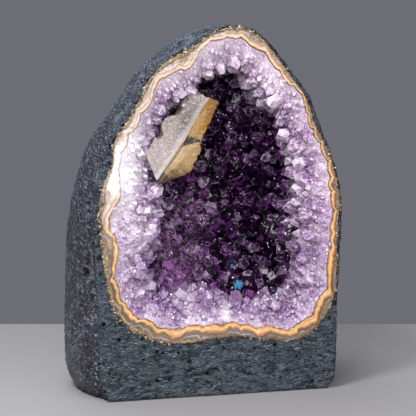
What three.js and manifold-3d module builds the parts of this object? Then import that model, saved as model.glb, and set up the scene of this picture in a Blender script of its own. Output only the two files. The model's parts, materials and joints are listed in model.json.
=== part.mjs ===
// Amethyst druse: half a geode in a dark cement coat, sawn across its front, standing on its foot.
// Millimetres. X runs to the right, Y back from the cut face, Z up from the ground.
import * as THREE from 'three';
import { ConvexGeometry } from 'three/addons/geometries/ConvexGeometry.js';
import { ParametricGeometry } from 'three/addons/geometries/ParametricGeometry.js';
import { ConvexHull } from 'three/addons/math/ConvexHull.js';
import { mergeVertices } from 'three/addons/utils/BufferGeometryUtils.js';
import Module from 'manifold-3d';

const wasm = await Module();
wasm.setup();

// Driving dimensions
const bodyDepth = 122;          // cut face to the back of the coat
const middle = { x: 4, z: 138 };    // every outline on the cut face turns round this point
const jointGap = 0.4;           // clear space between neighbouring pieces
const groundAllowance = 12;     // the coat is modelled this far below the ground, then cut flat

// Outline of the coat on the cut face, [x, z], clockwise from the top
const coatOutline = [
  [12, 250], [28, 243], [48, 219], [60, 205], [68, 184], [80, 155], [85, 130], [84, 95], [82, 45],
  [82, 9], [79, 0], [72, -8], [0, -12], [-74, -8], [-82, 0], [-84, 8], [-84, 60], [-86, 95],
  [-87, 118], [-83, 148], [-76, 172], [-58, 200], [-50, 216], [-35, 229], [-16, 242], [0, 249],
];

// Outer edge of the agate ring with its rind, [x, z], clockwise from the top
const agateOuter = [
  [9, 249], [20, 247], [36, 232], [48, 216], [59, 201], [65, 184], [74, 168], [81, 149], [84, 134],
  [82, 112], [82, 88], [80, 62], [72, 49], [58, 36], [28, 37], [10, 40], [-12, 38], [-36, 37],
  [-57, 44], [-73, 61], [-79, 83], [-81, 105], [-83, 128], [-80, 146], [-74, 157], [-73, 172],
  [-60, 192], [-49, 214], [-35, 228], [-20, 235], [-2, 247],
];

// Inner edge of the agate ring, where the quartz begins, [x, z], clockwise from the top
const agateInner = [
  [12, 241], [20, 239], [33, 227], [43, 215], [56, 202], [59, 190], [70, 167], [76, 152], [75, 142],
  [79, 131], [77, 115], [77, 98], [74, 87], [76, 76], [71, 62], [62, 50], [49, 43], [34, 43],
  [21, 46], [7, 50], [-8, 48], [-22, 49], [-36, 46], [-49, 52], [-61, 58], [-69, 70], [-74, 88],
  [-69, 96], [-71, 107], [-76, 118], [-75, 127], [-68, 136], [-69, 158], [-60, 183], [-48, 199],
  [-41, 214], [-21, 223], [-14, 235], [0, 240],
];

// Edge where the pale rim turns down into the dark hollow, [x, z], clockwise from the top
const hollowEdge = [
  [11, 224], [20, 208], [38, 189], [51, 161], [52, 130], [53, 95], [57, 75], [38, 63], [10, 66],
  [-14, 74], [-44, 74], [-51, 90], [-44, 110], [-40, 130], [-49, 156], [-42, 178], [-24, 201],
  [-4, 216],
];

// Side view of the coat: depth, and how wide and how high it is there against the cut face
const coatProfile = [
  { depth: 2.8, wide: 1, high: 1 },
  { depth: 12, wide: 1.065, high: 1.012 },
  { depth: 27, wide: 1.125, high: 1.02 },
  { depth: 46, wide: 1.16, high: 1.02 },
  { depth: 65, wide: 1.15, high: 1.005 },
  { depth: 83, wide: 1.07, high: 0.96 },
  { depth: 99, wide: 0.92, high: 0.87 },
  { depth: 112, wide: 0.68, high: 0.68 },
  { depth: 119, wide: 0.42, high: 0.45 },
  { depth: bodyDepth, wide: 0, high: 0 },
];
const flareSides = [-10, 25];    // between these places the left flare gives way to the right
const coatEdgeRound = 2.2;      // rounding of the coat's front edge
const sideFlare = [             // share of that extra width, with height, on the left and the right
  { z: 0, left: 1.2, right: 0.6 },
  { z: 40, left: 1.32, right: 0.66 },
  { z: 65, left: 1.28, right: 0.68 },
  { z: 90, left: 1, right: 0.68 },
  { z: 115, left: 0.8, right: 0.7 },
  { z: 135, left: 0.58, right: 0.75 },
  { z: 165, left: 0.5, right: 0.6 },
  { z: 215, left: 0.1, right: 0.3 },
  { z: 232, left: 0.5, right: 0.1 },
  { z: 246, left: 1.9, right: 0 },
];
const coatFootRound = 2;        // rounding where the sides meet the ground
const coatLump = 0.9;           // height of the lumps on the back and sides

const ringDepth = 14;           // how far the agate ring reaches back
const ringCrown = 1.2;          // how far it stands proud of the cut face
const ringEdgeDepth = 0.8;      // depth of the ring's two front edges
const ringTaper = 0.35;         // share of its width that the ring loses towards its back
const thinnestWall = 1.3;       // coat left outside the agate at the tightest place

const bowlDepth = 104;          // back of the quartz crust
const bowlRoundness = 2.3;      // higher is boxier
const rimSlope = [              // from the agate (0) to the edge of the hollow (1)
  { inward: 0, depth: 1 },
  { inward: 0.4, depth: 5 },
  { inward: 0.85, depth: 13 },
];
const hollowProfile = [         // size against the edge of the hollow, with depth
  { share: 1.12, depth: 26 },
  { share: 1.14, depth: 46 },
  { share: 0.98, depth: 66 },
  { share: 0.6, depth: 82 },
  { share: 0, depth: 87 },
];

const crustFront = -0.6;        // nothing of the crust stands further forward than this

// Crystals: distance between neighbours, prism above the groove, point above the prism
const rimCrystal = { spacing: 6.2, prism: 0.4, point: 4.6 };
const hollowCrystal = { spacing: 11.5, prism: 3, point: 6.5 };
const rimEnds = [0.2, 0.42];    // the rim's crystals give way to the hollow's over this stretch
const crystalSize = [0.65, 1.35];   // smallest and largest, against the usual
const crystalTaper = 0.22;      // how much narrower the prism is at its shoulder
const crystalLean = 0.42;       // how far a crystal leans out of square
const rimLean = 0.35;           // how far the rim's crystals lean towards the middle
const grooveDepth = 1.6;        // how far the grooves between crystals sink below the wall
const crystalTries = 9000;
const randomSeed = 4127;

const coatSteps = 60;           // steps round each piece
const ringSteps = 80;

const bowlMouth = -10;          // the cut for the bowl starts in front of the face
const calcitePocket = 0.6;      // room left round the calcite

const colours = { coat: 0x3a3f47, agate: 0xb88547, amethyst: 0x7b56a8, calcite: 0xd9c8a0 };

// A repeatable random number from 0 to 1
function randomSource(seed) {
  let state = seed;
  return () => {
    state = (state + 0x6d2b79f5) | 0;
    let mixed = Math.imul(state ^ (state >>> 15), 1 | state);
    mixed = (mixed + Math.imul(mixed ^ (mixed >>> 7), 61 | mixed)) ^ mixed;
    return ((mixed ^ (mixed >>> 14)) >>> 0) / 4294967296;
  };
}

function mix(from, to, share) {
  return from + (to - from) * share;
}

// A place by its angle round the middle line, its reach from it and its depth
function facePoint(angle, reach, depth, rise = reach) {
  return new THREE.Vector3(
    middle.x + reach * Math.cos(angle), depth, middle.z + rise * Math.sin(angle));
}

// Reach of a closed outline from the middle point, as a function of the angle from +X towards +Z
function reachOf(outline) {
  const corners = outline.map(([x, z]) => new THREE.Vector3(x - middle.x, 0, z - middle.z));
  const curve = new THREE.CatmullRomCurve3(corners, true, 'centripetal');
  const samples = curve.getPoints(outline.length * 12);
  return (angle) => {
    const direction = new THREE.Vector3(Math.cos(angle), 0, Math.sin(angle));
    for (let i = 0; i < samples.length - 1; i += 1) {
      const [a, b] = [samples[i], samples[i + 1]];
      const sideA = direction.x * a.z - direction.z * a.x;
      const sideB = direction.x * b.z - direction.z * b.x;
      const crosses = (sideA <= 0) !== (sideB <= 0);
      if (crosses && a.dot(direction) > 0) {
        return a.clone().lerp(b, sideA / (sideA - sideB)).length();
      }
    }
    throw new Error(`no outline at ${angle}`);
  };
}

// Welds a three.js geometry, points its faces outwards and makes it a solid
function toSolid(geometry) {
  geometry.deleteAttribute('uv');
  geometry.deleteAttribute('normal');
  const welded = mergeVertices(geometry, 1e-4);
  const position = welded.attributes.position.array;
  const triangles = [];
  for (let i = 0; i < welded.index.count; i += 3) {
    const [a, b, c] = [0, 1, 2].map((k) => welded.index.getX(i + k));
    if (a !== b && b !== c && c !== a) triangles.push([a, b, c]);
  }
  const corner = (i) => new THREE.Vector3().fromArray(position, i * 3);
  const volume = triangles.reduce(
    (sum, [a, b, c]) => sum + corner(a).dot(corner(b).cross(corner(c))), 0);
  const ordered = volume > 0 ? triangles : triangles.map(([a, b, c]) => [a, c, b]);
  return new wasm.Manifold(new wasm.Mesh({
    numProp: 3,
    vertProperties: Float32Array.from(position),
    triVerts: Uint32Array.from(ordered.flat()),
  }));
}

function toMesh(solid, name, material) {
  const { vertProperties, triVerts } = solid.getMesh();
  const geometry = new THREE.BufferGeometry();
  geometry.setAttribute('position', new THREE.BufferAttribute(vertProperties, 3));
  geometry.setIndex(new THREE.BufferAttribute(triVerts, 1));
  geometry.computeVertexNormals();
  const mesh = new THREE.Mesh(geometry, material);
  mesh.name = name;
  return mesh;
}

// The largest piece, so that no crumb cut loose stays behind
function largestPiece(solid) {
  const pieces = solid.decompose();
  return pieces.reduce((best, piece) => (piece.volume() > best.volume() ? piece : best));
}

// A solid whose section changes as it turns round the middle line. A section is a list of
// [reach, depth], or [reach sideways, depth, reach up and down]. It starts and ends on the
// middle line, or with closed it is a ring's own loop.
function turnedSolid(sectionAt, steps, closed = false) {
  const sections = Array.from({ length: steps }, (_, k) => sectionAt((2 * Math.PI * k) / steps));
  const count = sections[0].length;
  const spans = closed ? count : count - 1;
  const place = (u, v, target) => {
    const step = Math.round(v * steps) % steps;
    const angle = (2 * Math.PI * step) / steps;
    const [reach, depth, rise] = sections[step][Math.round(u * spans) % count];
    target.copy(facePoint(angle, reach, depth, rise));
  };
  return toSolid(new ParametricGeometry(place, spans, steps));
}

const coatReach = reachOf(coatOutline);
const innerReach = reachOf(agateInner);
const hollowReach = reachOf(hollowEdge);
const widestAgate = reachOf(agateOuter);
const outerReach = (angle) => Math.min(widestAgate(angle), coatReach(angle) - thinnestWall);

// Reach of the bowl in the coat: the agate's edge, then rounding to a point at the back
function bowlReach(angle, depth) {
  const along = Math.max(0, (depth - ringDepth) / (bowlDepth - ringDepth));
  return outerReach(angle) * (1 - along ** bowlRoundness) ** (1 / bowlRoundness);
}
const bowlStations = [0, 0.35, 0.65, 0.87, 0.98, 1].map(
  (share) => mix(ringDepth, bowlDepth, share));

// Cement coat

// Low lumps on the coat, from a few crossing waves
function lumpAt(x, depth, z) {
  const wave = Math.sin(x / 9 + 1.7 * Math.sin(z / 17)) * Math.sin(z / 11 + depth / 13)
    + 0.6 * Math.sin(depth / 7 + x / 23) * Math.cos(z / 8 - x / 19);
  return coatLump * wave;
}

// Share of the side view's extra width at a place
function flareAt(x, z) {
  const above = sideFlare.findIndex((row) => row.z > z);
  const high = sideFlare.at(above);
  const low = sideFlare.at(Math.max(0, above - 1));
  const along = high.z > low.z ? THREE.MathUtils.clamp((z - low.z) / (high.z - low.z), 0, 1) : 0;
  const toRight = THREE.MathUtils.smoothstep(x, ...flareSides);
  return mix(mix(low.left, high.left, along), mix(low.right, high.right, along), toRight);
}

function coatSection(angle) {
  const reach = coatReach(angle);
  const front = [
    [0, 0], [reach - coatEdgeRound, 0], [reach - coatEdgeRound * 0.3, coatEdgeRound * 0.3],
  ];
  const sides = coatProfile.map(({ depth, wide, high }) => {
    const z = middle.z + reach * high * Math.sin(angle);
    const flared = wide > 1 ? 1 + (wide - 1) * flareAt(reach * Math.cos(angle), z) : wide;
    const tuck = coatFootRound * Math.exp(-Math.max(0, z) / coatFootRound);
    const lump = wide * Math.min(1, depth / 20) * lumpAt(reach * Math.cos(angle), depth, z);
    return [reach * flared + lump - tuck * wide, depth, reach * high + lump];
  });
  return [...front, ...sides];
}

function buildCoat() {
  const body = turnedSolid(coatSection, coatSteps);
  const bowl = turnedSolid((angle) => [
    [0, bowlMouth], [outerReach(angle), bowlMouth],
    ...bowlStations.map((depth) => [bowlReach(angle, depth), depth]),
  ], ringSteps);
  const ground = new THREE.BoxGeometry(3 * bodyDepth, 3 * bodyDepth, 2 * groundAllowance);
  ground.translate(0, bodyDepth / 2, -groundAllowance);
  return largestPiece(body.subtract(bowl).subtract(toSolid(ground)));
}

// Agate ring

// The ring's section: its front, the edge to the quartz, and its back
function ringSection(angle) {
  const outer = outerReach(angle) - jointGap;
  const inner = innerReach(angle);
  const width = outer - inner;
  return [
    [outer, ringEdgeDepth], [mix(outer, inner, 0.3), -ringCrown], [mix(outer, inner, 0.7), -ringCrown],
    [inner, ringEdgeDepth], [inner + width * ringTaper, ringDepth], [outer, ringDepth],
  ];
}

function buildRing() {
  return turnedSolid(ringSection, ringSteps, true);
}

// Quartz crust

// The crust's wall under the crystals, from the agate down into the hollow
function wallSection(angle) {
  const inner = innerReach(angle) - jointGap;
  const edge = hollowReach(angle);
  return [
    ...rimSlope.map(({ inward, depth }) => [mix(inner, edge, inward), depth]),
    ...hollowProfile.map(({ share, depth }) => [edge * share, depth]),
  ];
}

// The space that the crust may fill: inside the bowl, behind the ring, cut off at the cut face
function crustSpaceSection(angle) {
  const inner = innerReach(angle) - jointGap;
  const outer = outerReach(angle) - jointGap;
  const ringBack = mix(inner, outer, ringTaper);
  const bowl = bowlStations.slice(1).map((depth) => (
    [Math.max(0, bowlReach(angle, depth) - jointGap), depth - jointGap]));
  return [
    [0, crustFront], [inner, crustFront], [inner, ringEdgeDepth + jointGap],
    [ringBack, ringDepth + jointGap], [outer, ringDepth + jointGap], ...bowl,
  ];
}

// A point on the wall, with s from 0 at the agate to 1 at the back of the hollow
function wallPoint(angle, s) {
  const section = wallSection(angle);
  const along = Math.min(s, 0.9999) * (section.length - 1);
  const [a, b] = [section[Math.floor(along)], section[Math.floor(along) + 1]];
  const reach = mix(a[0], b[0], along % 1);
  const depth = mix(a[1], b[1], along % 1);
  return facePoint(angle, reach, depth);
}

// Direction square to the wall, towards the open front
function wallNormal(angle, s) {
  const small = 0.01;
  const round = wallPoint(angle + small, s).sub(wallPoint(angle - small, s));
  const down = wallPoint(angle, Math.min(1, s + small)).sub(wallPoint(angle, Math.max(0, s - small)));
  return round.cross(down).normalize();
}

// Places for the crystals: random, but never closer than the spacing there
function crystalPlaces(random) {
  const places = [];
  for (let i = 0; i < crystalTries; i += 1) {
    const angle = random() * 2 * Math.PI;
    const s = mix(0.05, 1, random() ** 0.8);
    const point = wallPoint(angle, s);
    const inHollow = THREE.MathUtils.smoothstep(s, ...rimEnds);
    const spacing = mix(rimCrystal.spacing, hollowCrystal.spacing, inHollow);
    const free = places.every((other) => other.point.distanceTo(point) > spacing);
    if (free) places.push({ angle, s, point, inHollow });
  }
  return places;
}

// The triangles that join neighbouring places. The wall is unrolled onto a ball, where the
// hull of the places is the net of nearest neighbours. The hull's lid over the front is left out.
function neighbourNet(places, edgeCount) {
  const mouth = 0.75 * Math.PI;
  const onBall = places.map(({ angle, s }) => (
    new THREE.Vector3().setFromSphericalCoords(1, mouth * (1 - s), angle)));
  const order = new Map(onBall.map((point, i) => [point, i]));
  const triangles = new ConvexHull().setFromPoints(onBall).faces.map(({ edge }) => (
    [edge, edge.next, edge.next.next].map((side) => order.get(side.head().point))));
  return triangles.filter((corners) => corners.some((i) => i >= edgeCount));
}

// Direction of a crystal: square to the wall, leaning inwards on the rim, and never quite straight
function crystalDirection({ angle, s, inHollow }, random) {
  const inward = new THREE.Vector3(-Math.cos(angle), 0, -Math.sin(angle));
  const lean = new THREE.Vector3(random() - 0.5, random() - 0.5, random() - 0.5);
  return wallNormal(angle, s).addScaledVector(inward, rimLean * (1 - inHollow))
    .addScaledVector(lean, crystalLean).normalize();
}

// A skin under construction: its points, and its triangles as numbers of points
class Skin {
  points = [];

  triangles = [];

  addPoint(point) {
    return this.points.push(point) - 1;
  }

  toGeometry() {
    const geometry = new THREE.BufferGeometry().setFromPoints(this.points);
    geometry.setIndex(this.triangles);
    return geometry;
  }
}

// A crystal's tip, and how far its prism rises. Those of the rim are points with no prism.
function startCrystal(skin, place, random) {
  const direction = crystalDirection(place, random);
  const size = mix(...crystalSize, random());
  const prism = size * mix(rimCrystal.prism, hollowCrystal.prism, place.inHollow);
  const point = size * mix(rimCrystal.point, hollowCrystal.point, place.inHollow);
  return {
    tip: skin.addPoint(place.point.clone().addScaledVector(direction, prism + point)),
    root: place.point,
    rise: direction.multiplyScalar(prism),
    hasPrism: place.inHollow > 0.5,
    shoulders: new Map(),
  };
}

// A groove corner lifted up the prism
function shoulderOver(skin, crystal, groove) {
  if (!crystal.shoulders.has(groove)) {
    const corner = skin.points[groove].clone().lerp(crystal.root, crystalTaper).add(crystal.rise);
    crystal.shoulders.set(groove, skin.addPoint(corner));
  }
  return crystal.shoulders.get(groove);
}

// One side of a crystal, over the groove between two of its corners
function addSide(skin, crystal, from, to) {
  if (!crystal.hasPrism) {
    skin.triangles.push(crystal.tip, from, to);
    return;
  }
  const [a, b] = [from, to].map((groove) => shoulderOver(skin, crystal, groove));
  skin.triangles.push(crystal.tip, a, b, a, from, to, a, to, b);
}

// The crystals, each with as many sides as it has neighbours
function addCrystals(skin, edge, random) {
  const places = [...edge, ...crystalPlaces(random)];
  const crystals = places.map((place, i) => (
    i < edge.length ? { tip: skin.addPoint(place.point) } : startCrystal(skin, place, random)));
  const openSides = new Map();
  neighbourNet(places, edge.length).forEach((corners) => {
    const { angle, s } = places[corners[0]];
    const heart = corners.reduce(
      (sum, i) => sum.addScaledVector(places[i].point, 1 / 3), new THREE.Vector3());
    const atEdge = corners.some((i) => i < edge.length);
    const groove = skin.addPoint(heart.addScaledVector(wallNormal(angle, s), atEdge ? 0 : -grooveDepth));
    corners.forEach((i, k) => {
      const j = corners[(k + 1) % 3];
      const twin = openSides.get(`${j} ${i}`);
      if (twin === undefined) {
        openSides.set(`${i} ${j}`, groove);
        return;
      }
      openSides.delete(`${j} ${i}`);
      addSide(skin, crystals[i], twin, groove);
      addSide(skin, crystals[j], groove, twin);
    });
  });
  openSides.forEach((groove, key) => skin.triangles.push(...key.split(' ').map(Number), groove));
}

// The outside of the crust: from the agate's edge, behind the ring, to the back of the bowl
function addOutside(skin, edge) {
  const lines = edge.map(({ angle }) => crustSpaceSection(angle).slice(3));
  const pole = skin.addPoint(new THREE.Vector3(middle.x, bowlDepth - jointGap, middle.z));
  const rows = lines.map((line, k) => [
    k,
    ...line.slice(0, -1).map(([reach, depth]) => skin.addPoint(facePoint(edge[k].angle, reach, depth))),
    pole,
  ]);
  rows.forEach((here, k) => {
    const there = rows[(k + 1) % rows.length];
    for (let i = 0; i < here.length - 1; i += 1) {
      skin.triangles.push(here[i], here[i + 1], there[i + 1], here[i], there[i + 1], there[i]);
    }
  });
}

function buildCrust() {
  const skin = new Skin();
  const edge = Array.from({ length: ringSteps }, (_, k) => {
    const angle = (2 * Math.PI * k) / ringSteps;
    return { angle, s: 0, point: wallPoint(angle, 0) };
  });
  addCrystals(skin, edge, randomSource(randomSeed));
  addOutside(skin, edge);
  const space = turnedSolid(crustSpaceSection, ringSteps);
  const crust = toSolid(skin.toGeometry()).intersect(space);
  return largestPiece(crust.subtract(buildCalcite(calcitePocket)));
}

// Calcite cluster: each crystal is the hull of its corners, [x, y, z]
const calciteCrystals = {
  paleBlade: [
    [-17, 12, 208], [-9, 3, 201], [-25, 1, 193], [-39, 1, 187], [-51, 4, 164], [-44, 3, 147],
    [-38, 6, 150], [-24, 0, 176], [-46, 14, 162], [-36, 16, 186], [-20, 16, 200], [-34, 15, 152],
  ],
  upperHoney: [
    [-9, 2, 202], [0, 8, 199], [-5, 8, 188], [-13, 6, 173], [-23, 3, 177], [-20, 16, 196],
    [-16, 16, 178], [-4, 15, 199],
  ],
  lowerHoney: [
    [-14, 5, 172], [-12, 9, 166], [-20, 9, 151], [-33, 7, 147], [-44, 3, 144], [-40, 5, 151],
    [-26, 4, 170], [-24, 17, 166], [-38, 14, 150],
  ],
};

function hullSolid(corners, grow = 0) {
  const points = corners.map(([x, y, z]) => new THREE.Vector3(x, y, z));
  const heart = points.reduce((sum, point) => sum.add(point), new THREE.Vector3())
    .divideScalar(points.length);
  points.forEach((point) => point.add(point.clone().sub(heart).setLength(grow)));
  return toSolid(new ConvexGeometry(points));
}

function buildCalcite(grow = 0) {
  return wasm.Manifold.union(Object.values(calciteCrystals).map((corners) => hullSolid(corners, grow)));
}

// The whole druse
function finish(colour, roughness) {
  return new THREE.MeshStandardMaterial({ color: colour, roughness, metalness: 0, flatShading: true });
}

const group = new THREE.Group();
group.add(toMesh(buildCoat(), 'cement_casing', finish(colours.coat, 0.85)));
group.add(toMesh(buildRing(), 'agate_rim', finish(colours.agate, 0.35)));
group.add(toMesh(buildCrust(), 'amethyst_crust', finish(colours.amethyst, 0.2)));
group.add(toMesh(buildCalcite(), 'calcite_cluster', finish(colours.calcite, 0.25)));

// The origin goes to the middle of the foot, on the ground
const box = new THREE.Box3().setFromObject(group);
group.position.set(-(box.min.x + box.max.x) / 2, -(box.min.y + box.max.y) / 2, -box.min.z);
group.updateMatrixWorld(true);

export default group;
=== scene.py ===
import json
import math
import random

import bmesh
import bpy
import numpy as np
from mathutils import Euler, Matrix, Vector, noise
from mathutils.bvhtree import BVHTree

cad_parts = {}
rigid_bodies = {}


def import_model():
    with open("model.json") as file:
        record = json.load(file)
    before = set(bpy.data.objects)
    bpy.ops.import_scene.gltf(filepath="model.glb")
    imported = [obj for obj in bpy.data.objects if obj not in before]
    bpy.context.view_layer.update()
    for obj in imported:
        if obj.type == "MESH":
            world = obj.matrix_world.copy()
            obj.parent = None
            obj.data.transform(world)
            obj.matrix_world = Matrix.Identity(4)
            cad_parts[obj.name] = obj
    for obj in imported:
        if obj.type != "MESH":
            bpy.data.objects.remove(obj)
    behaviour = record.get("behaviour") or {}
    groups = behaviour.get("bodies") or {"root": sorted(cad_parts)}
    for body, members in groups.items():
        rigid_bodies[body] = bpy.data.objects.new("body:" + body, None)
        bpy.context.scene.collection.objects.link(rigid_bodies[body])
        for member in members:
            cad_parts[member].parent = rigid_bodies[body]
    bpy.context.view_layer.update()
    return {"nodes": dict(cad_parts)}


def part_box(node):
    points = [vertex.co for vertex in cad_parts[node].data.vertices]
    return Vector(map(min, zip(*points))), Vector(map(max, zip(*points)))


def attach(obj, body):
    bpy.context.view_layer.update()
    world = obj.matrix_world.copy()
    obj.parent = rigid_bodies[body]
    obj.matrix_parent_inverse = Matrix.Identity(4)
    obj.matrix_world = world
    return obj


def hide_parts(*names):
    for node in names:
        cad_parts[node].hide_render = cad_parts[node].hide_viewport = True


# Amethyst druse: half a geode in a dark cement coat, sawn across its front.
# Metres. X runs to the right, Y back from the cut face, Z up from the ground.
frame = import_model()
print("frame loaded")

mm = 0.001
middleX = 7.84 * mm         # every outline on the cut face turns round this line
middleZ = 138 * mm
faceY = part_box("cement_casing")[0].y    # plane of the saw cut
jointGap = 0.4 * mm


# Camera

photoView = {
    "place": (-155.2 * mm, -706.6 * mm, 194.5 * mm),
    "turn": 13.0,           # degrees to the right of straight ahead
    "dip": 5.68,            # degrees below level
    "lens": 86.54,
    "sensor": 36,
    "pixels": 416,
}


def makeCamera(view):
    data = bpy.data.cameras.new("photoCamera")
    data.lens = view["lens"]
    data.sensor_width = view["sensor"]
    camera = bpy.data.objects.new("photoCamera", data)
    camera.location = view["place"]
    camera.rotation_euler = Euler((math.radians(90 - view["dip"]), 0, math.radians(-view["turn"])))
    bpy.context.scene.collection.objects.link(camera)
    bpy.context.scene.camera = camera
    bpy.context.view_layer.update()
    return camera


camera = makeCamera(photoView)


def sightLine(pixel):
    # where the camera stands, and the direction in which it sees a pixel of the photograph
    half = photoView["pixels"] / 2
    reach = photoView["pixels"] * photoView["lens"] / photoView["sensor"]
    x, y = pixel
    local = Vector(((x - half) / reach, (half - y) / reach, -1))
    return camera.location.copy(), (camera.matrix_world.to_3x3() @ local).normalized()


def pixelWidth(distance):
    # how wide a pixel of the photograph is at a distance from the camera
    return distance * photoView["sensor"] / photoView["lens"] / photoView["pixels"]


def seenOn(surface, pixel):
    # where a pixel's line of sight meets a surface, the normal there and how far off it is
    start, direction = sightLine(pixel)
    place, normal, _, distance = surface.ray_cast(start, direction)
    if normal.dot(direction) > 0:
        normal = -normal
    return place, normal, distance


# Node helpers

def put(tree, kind, inputs=None, **settings):
    node = tree.nodes.new(kind)
    for name, value in settings.items():
        setattr(node, name, value)
    for name, value in (inputs or {}).items():
        feed(tree, value, node.inputs[name])
    return node


def feed(tree, value, socket):
    if isinstance(value, bpy.types.NodeSocket):
        tree.links.new(value, socket)
    else:
        socket.default_value = value


def calc(tree, operation, *values, clamp=False):
    kind = "ShaderNodeMath"
    node = put(tree, kind, dict(enumerate(values)), operation=operation, use_clamp=clamp)
    return node.outputs[0]


def vectorCalc(tree, operation, *values):
    node = put(tree, "ShaderNodeVectorMath", operation=operation)
    for index, value in enumerate(values):
        socket = node.inputs["Scale"] if operation == "SCALE" and index == 1 else node.inputs[index]
        feed(tree, value, socket)
    return node.outputs["Value" if operation in ("LENGTH", "DOT_PRODUCT") else "Vector"]


def remap(tree, value, low, high, toLow=0.0, toHigh=1.0, smooth=False):
    kind = "SMOOTHSTEP" if smooth else "LINEAR"
    return put(tree, "ShaderNodeMapRange", {
        "Value": value, "From Min": low, "From Max": high, "To Min": toLow, "To Max": toHigh,
    }, interpolation_type=kind).outputs["Result"]


def times(tree, first, second, clamp=False):
    return calc(tree, "MULTIPLY", first, second, clamp=clamp)


def plus(tree, first, second):
    return calc(tree, "ADD", first, second)


def minus(tree, first, second):
    return calc(tree, "SUBTRACT", first, second)


def blend(tree, share, first, second, kind="MIX"):
    node = put(tree, "ShaderNodeMix", data_type="RGBA", blend_type=kind)
    feed(tree, share, node.inputs[0])
    for colour, socket in ((first, node.inputs[6]), (second, node.inputs[7])):
        feed(tree, (*colour, 1) if isinstance(colour, tuple) else colour, socket)
    return node.outputs[2]


def layered(tree, tone, layers):
    # colours laid over a tone one after another, each with its share and at times its way of mixing
    for share, *colour in layers:
        tone = blend(tree, share, tone, *colour)
    return tone


def heightOf(tree, place):
    return put(tree, "ShaderNodeSeparateXYZ", {"Vector": place}).outputs["Z"]


def ramp(tree, value, stops, kind="LINEAR"):
    node = put(tree, "ShaderNodeValToRGB", {"Fac": value})
    node.color_ramp.interpolation = kind
    elements = node.color_ramp.elements
    while len(elements) < len(stops):
        elements.new(0.5)
    for element, (place, colour) in zip(elements, stops):
        element.position = place
        element.color = (*colour, 1)
    return node.outputs["Color"]


def speckle(tree, place, scale, detail=3.0, roughness=0.55, distortion=0.0,
            turn=(0, 0, 0), stretch=(1, 1, 1)):
    if turn != (0, 0, 0) or stretch != (1, 1, 1):
        place = put(tree, "ShaderNodeMapping", {"Vector": place, "Rotation": turn, "Scale": stretch})
        place = place.outputs["Vector"]
    return put(tree, "ShaderNodeTexNoise", {
        "Vector": place, "Scale": scale, "Detail": detail, "Roughness": roughness, "Distortion": distortion,
    }).outputs["Fac"]


def cells(tree, place, scale, feature="F1", randomness=1.0):
    return put(tree, "ShaderNodeTexVoronoi", {
        "Vector": place, "Scale": scale, "Randomness": randomness}, feature=feature)


def tiltedCells(tree, place, scale, tilt):
    # height in metres of small flat cells, each tilted its own way, so that each glints by itself
    cell = cells(tree, place, scale)
    apart = vectorCalc(tree, "SUBTRACT", place, cell.outputs["Position"])
    lean = vectorCalc(tree, "SUBTRACT", cell.outputs["Color"], (0.5, 0.5, 0.5))
    return times(tree, times(tree, vectorCalc(tree, "DOT_PRODUCT", apart, lean), 2.0), tilt)


def shaderGroup(name, inputs, outputs):
    # an empty node group with named sockets, and its entry and exit
    tree = bpy.data.node_groups.new(name, "ShaderNodeTree")
    for label, value in inputs.items():
        socket = tree.interface.new_socket(label, in_out="INPUT", socket_type="NodeSocketFloat")
        socket.default_value = value
    for label, kind in outputs.items():
        tree.interface.new_socket(label, in_out="OUTPUT", socket_type=kind)
    return tree, tree.nodes.new("NodeGroupInput"), tree.nodes.new("NodeGroupOutput")


def placed(tree, group, **values):
    # the group in a material, with that material's own values
    node = tree.nodes.new("ShaderNodeGroup")
    node.node_tree = group
    for label, value in values.items():
        feed(tree, value, node.inputs[label.replace("_", " ").capitalize()])
    return node.outputs


def grainGroup():
    # stone grain at three scales, shared by the cement, the agate, its crumbs and the calcite
    tree, entry, leave = shaderGroup("stoneGrain", {"Broad": 22.0, "Coarse": 300.0, "Fine": 900.0}, {
        label: "NodeSocketFloat" for label in ("Broad", "Coarse", "Fine")})
    place = put(tree, "ShaderNodeTexCoord").outputs["Object"]
    for label, detail, rough in (("Broad", 3, 0.55), ("Coarse", 4, 0.65), ("Fine", 4, 0.7)):
        feed(tree, speckle(tree, place, entry.outputs[label], detail, rough), leave.inputs[label])
    return tree


def glintGroup():
    # small bright flats scattered over a face: scale, size against their spacing, and how many
    tree, entry, leave = shaderGroup("glints", {"Scale": 600.0, "Size": 0.25, "Share": 0.03}, {
        "Mask": "NodeSocketFloat"})
    place = put(tree, "ShaderNodeTexCoord").outputs["Object"]
    flat = cells(tree, place, entry.outputs["Scale"])
    here = calc(tree, "LESS_THAN", flat.outputs["Distance"], entry.outputs["Size"])
    chance = put(tree, "ShaderNodeSeparateColor", {"Color": flat.outputs["Color"]}).outputs["Red"]
    chosen = calc(tree, "LESS_THAN", chance, entry.outputs["Share"])
    feed(tree, times(tree, here, chosen), leave.inputs["Mask"])
    return tree


def newMaterial(name):
    material = bpy.data.materials.new(name)
    material.use_nodes = True
    tree = material.node_tree
    shader = tree.nodes["Principled BSDF"]
    place = put(tree, "ShaderNodeTexCoord").outputs["Object"]
    return material, tree, shader, place


def painted(tree, name):
    return put(tree, "ShaderNodeAttribute", attribute_name=name).outputs["Fac"]


def bump(tree, height, distance, strength=1.0):
    return put(tree, "ShaderNodeBump", {
        "Height": height, "Distance": distance, "Strength": strength}).outputs["Normal"]


def dress(tree, shader, tone, rough, normal, **fixed):
    # what varies over the surface, and the values that are the same all over it
    for label, value in (("Base Color", tone), ("Roughness", rough), ("Normal", normal)):
        feed(tree, value, shader.inputs[label])
    for label, value in fixed.items():
        shader.inputs[label.replace("_", " ")].default_value = value


def tintInside(tree, colour, density):
    volume = put(tree, "ShaderNodeVolumeAbsorption", {"Color": (*colour, 1), "Density": density})
    tree.links.new(volume.outputs["Volume"], tree.nodes["Material Output"].inputs["Volume"])


stoneGrain = grainGroup()
glints = glintGroup()


# Geometry Nodes helpers

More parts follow.
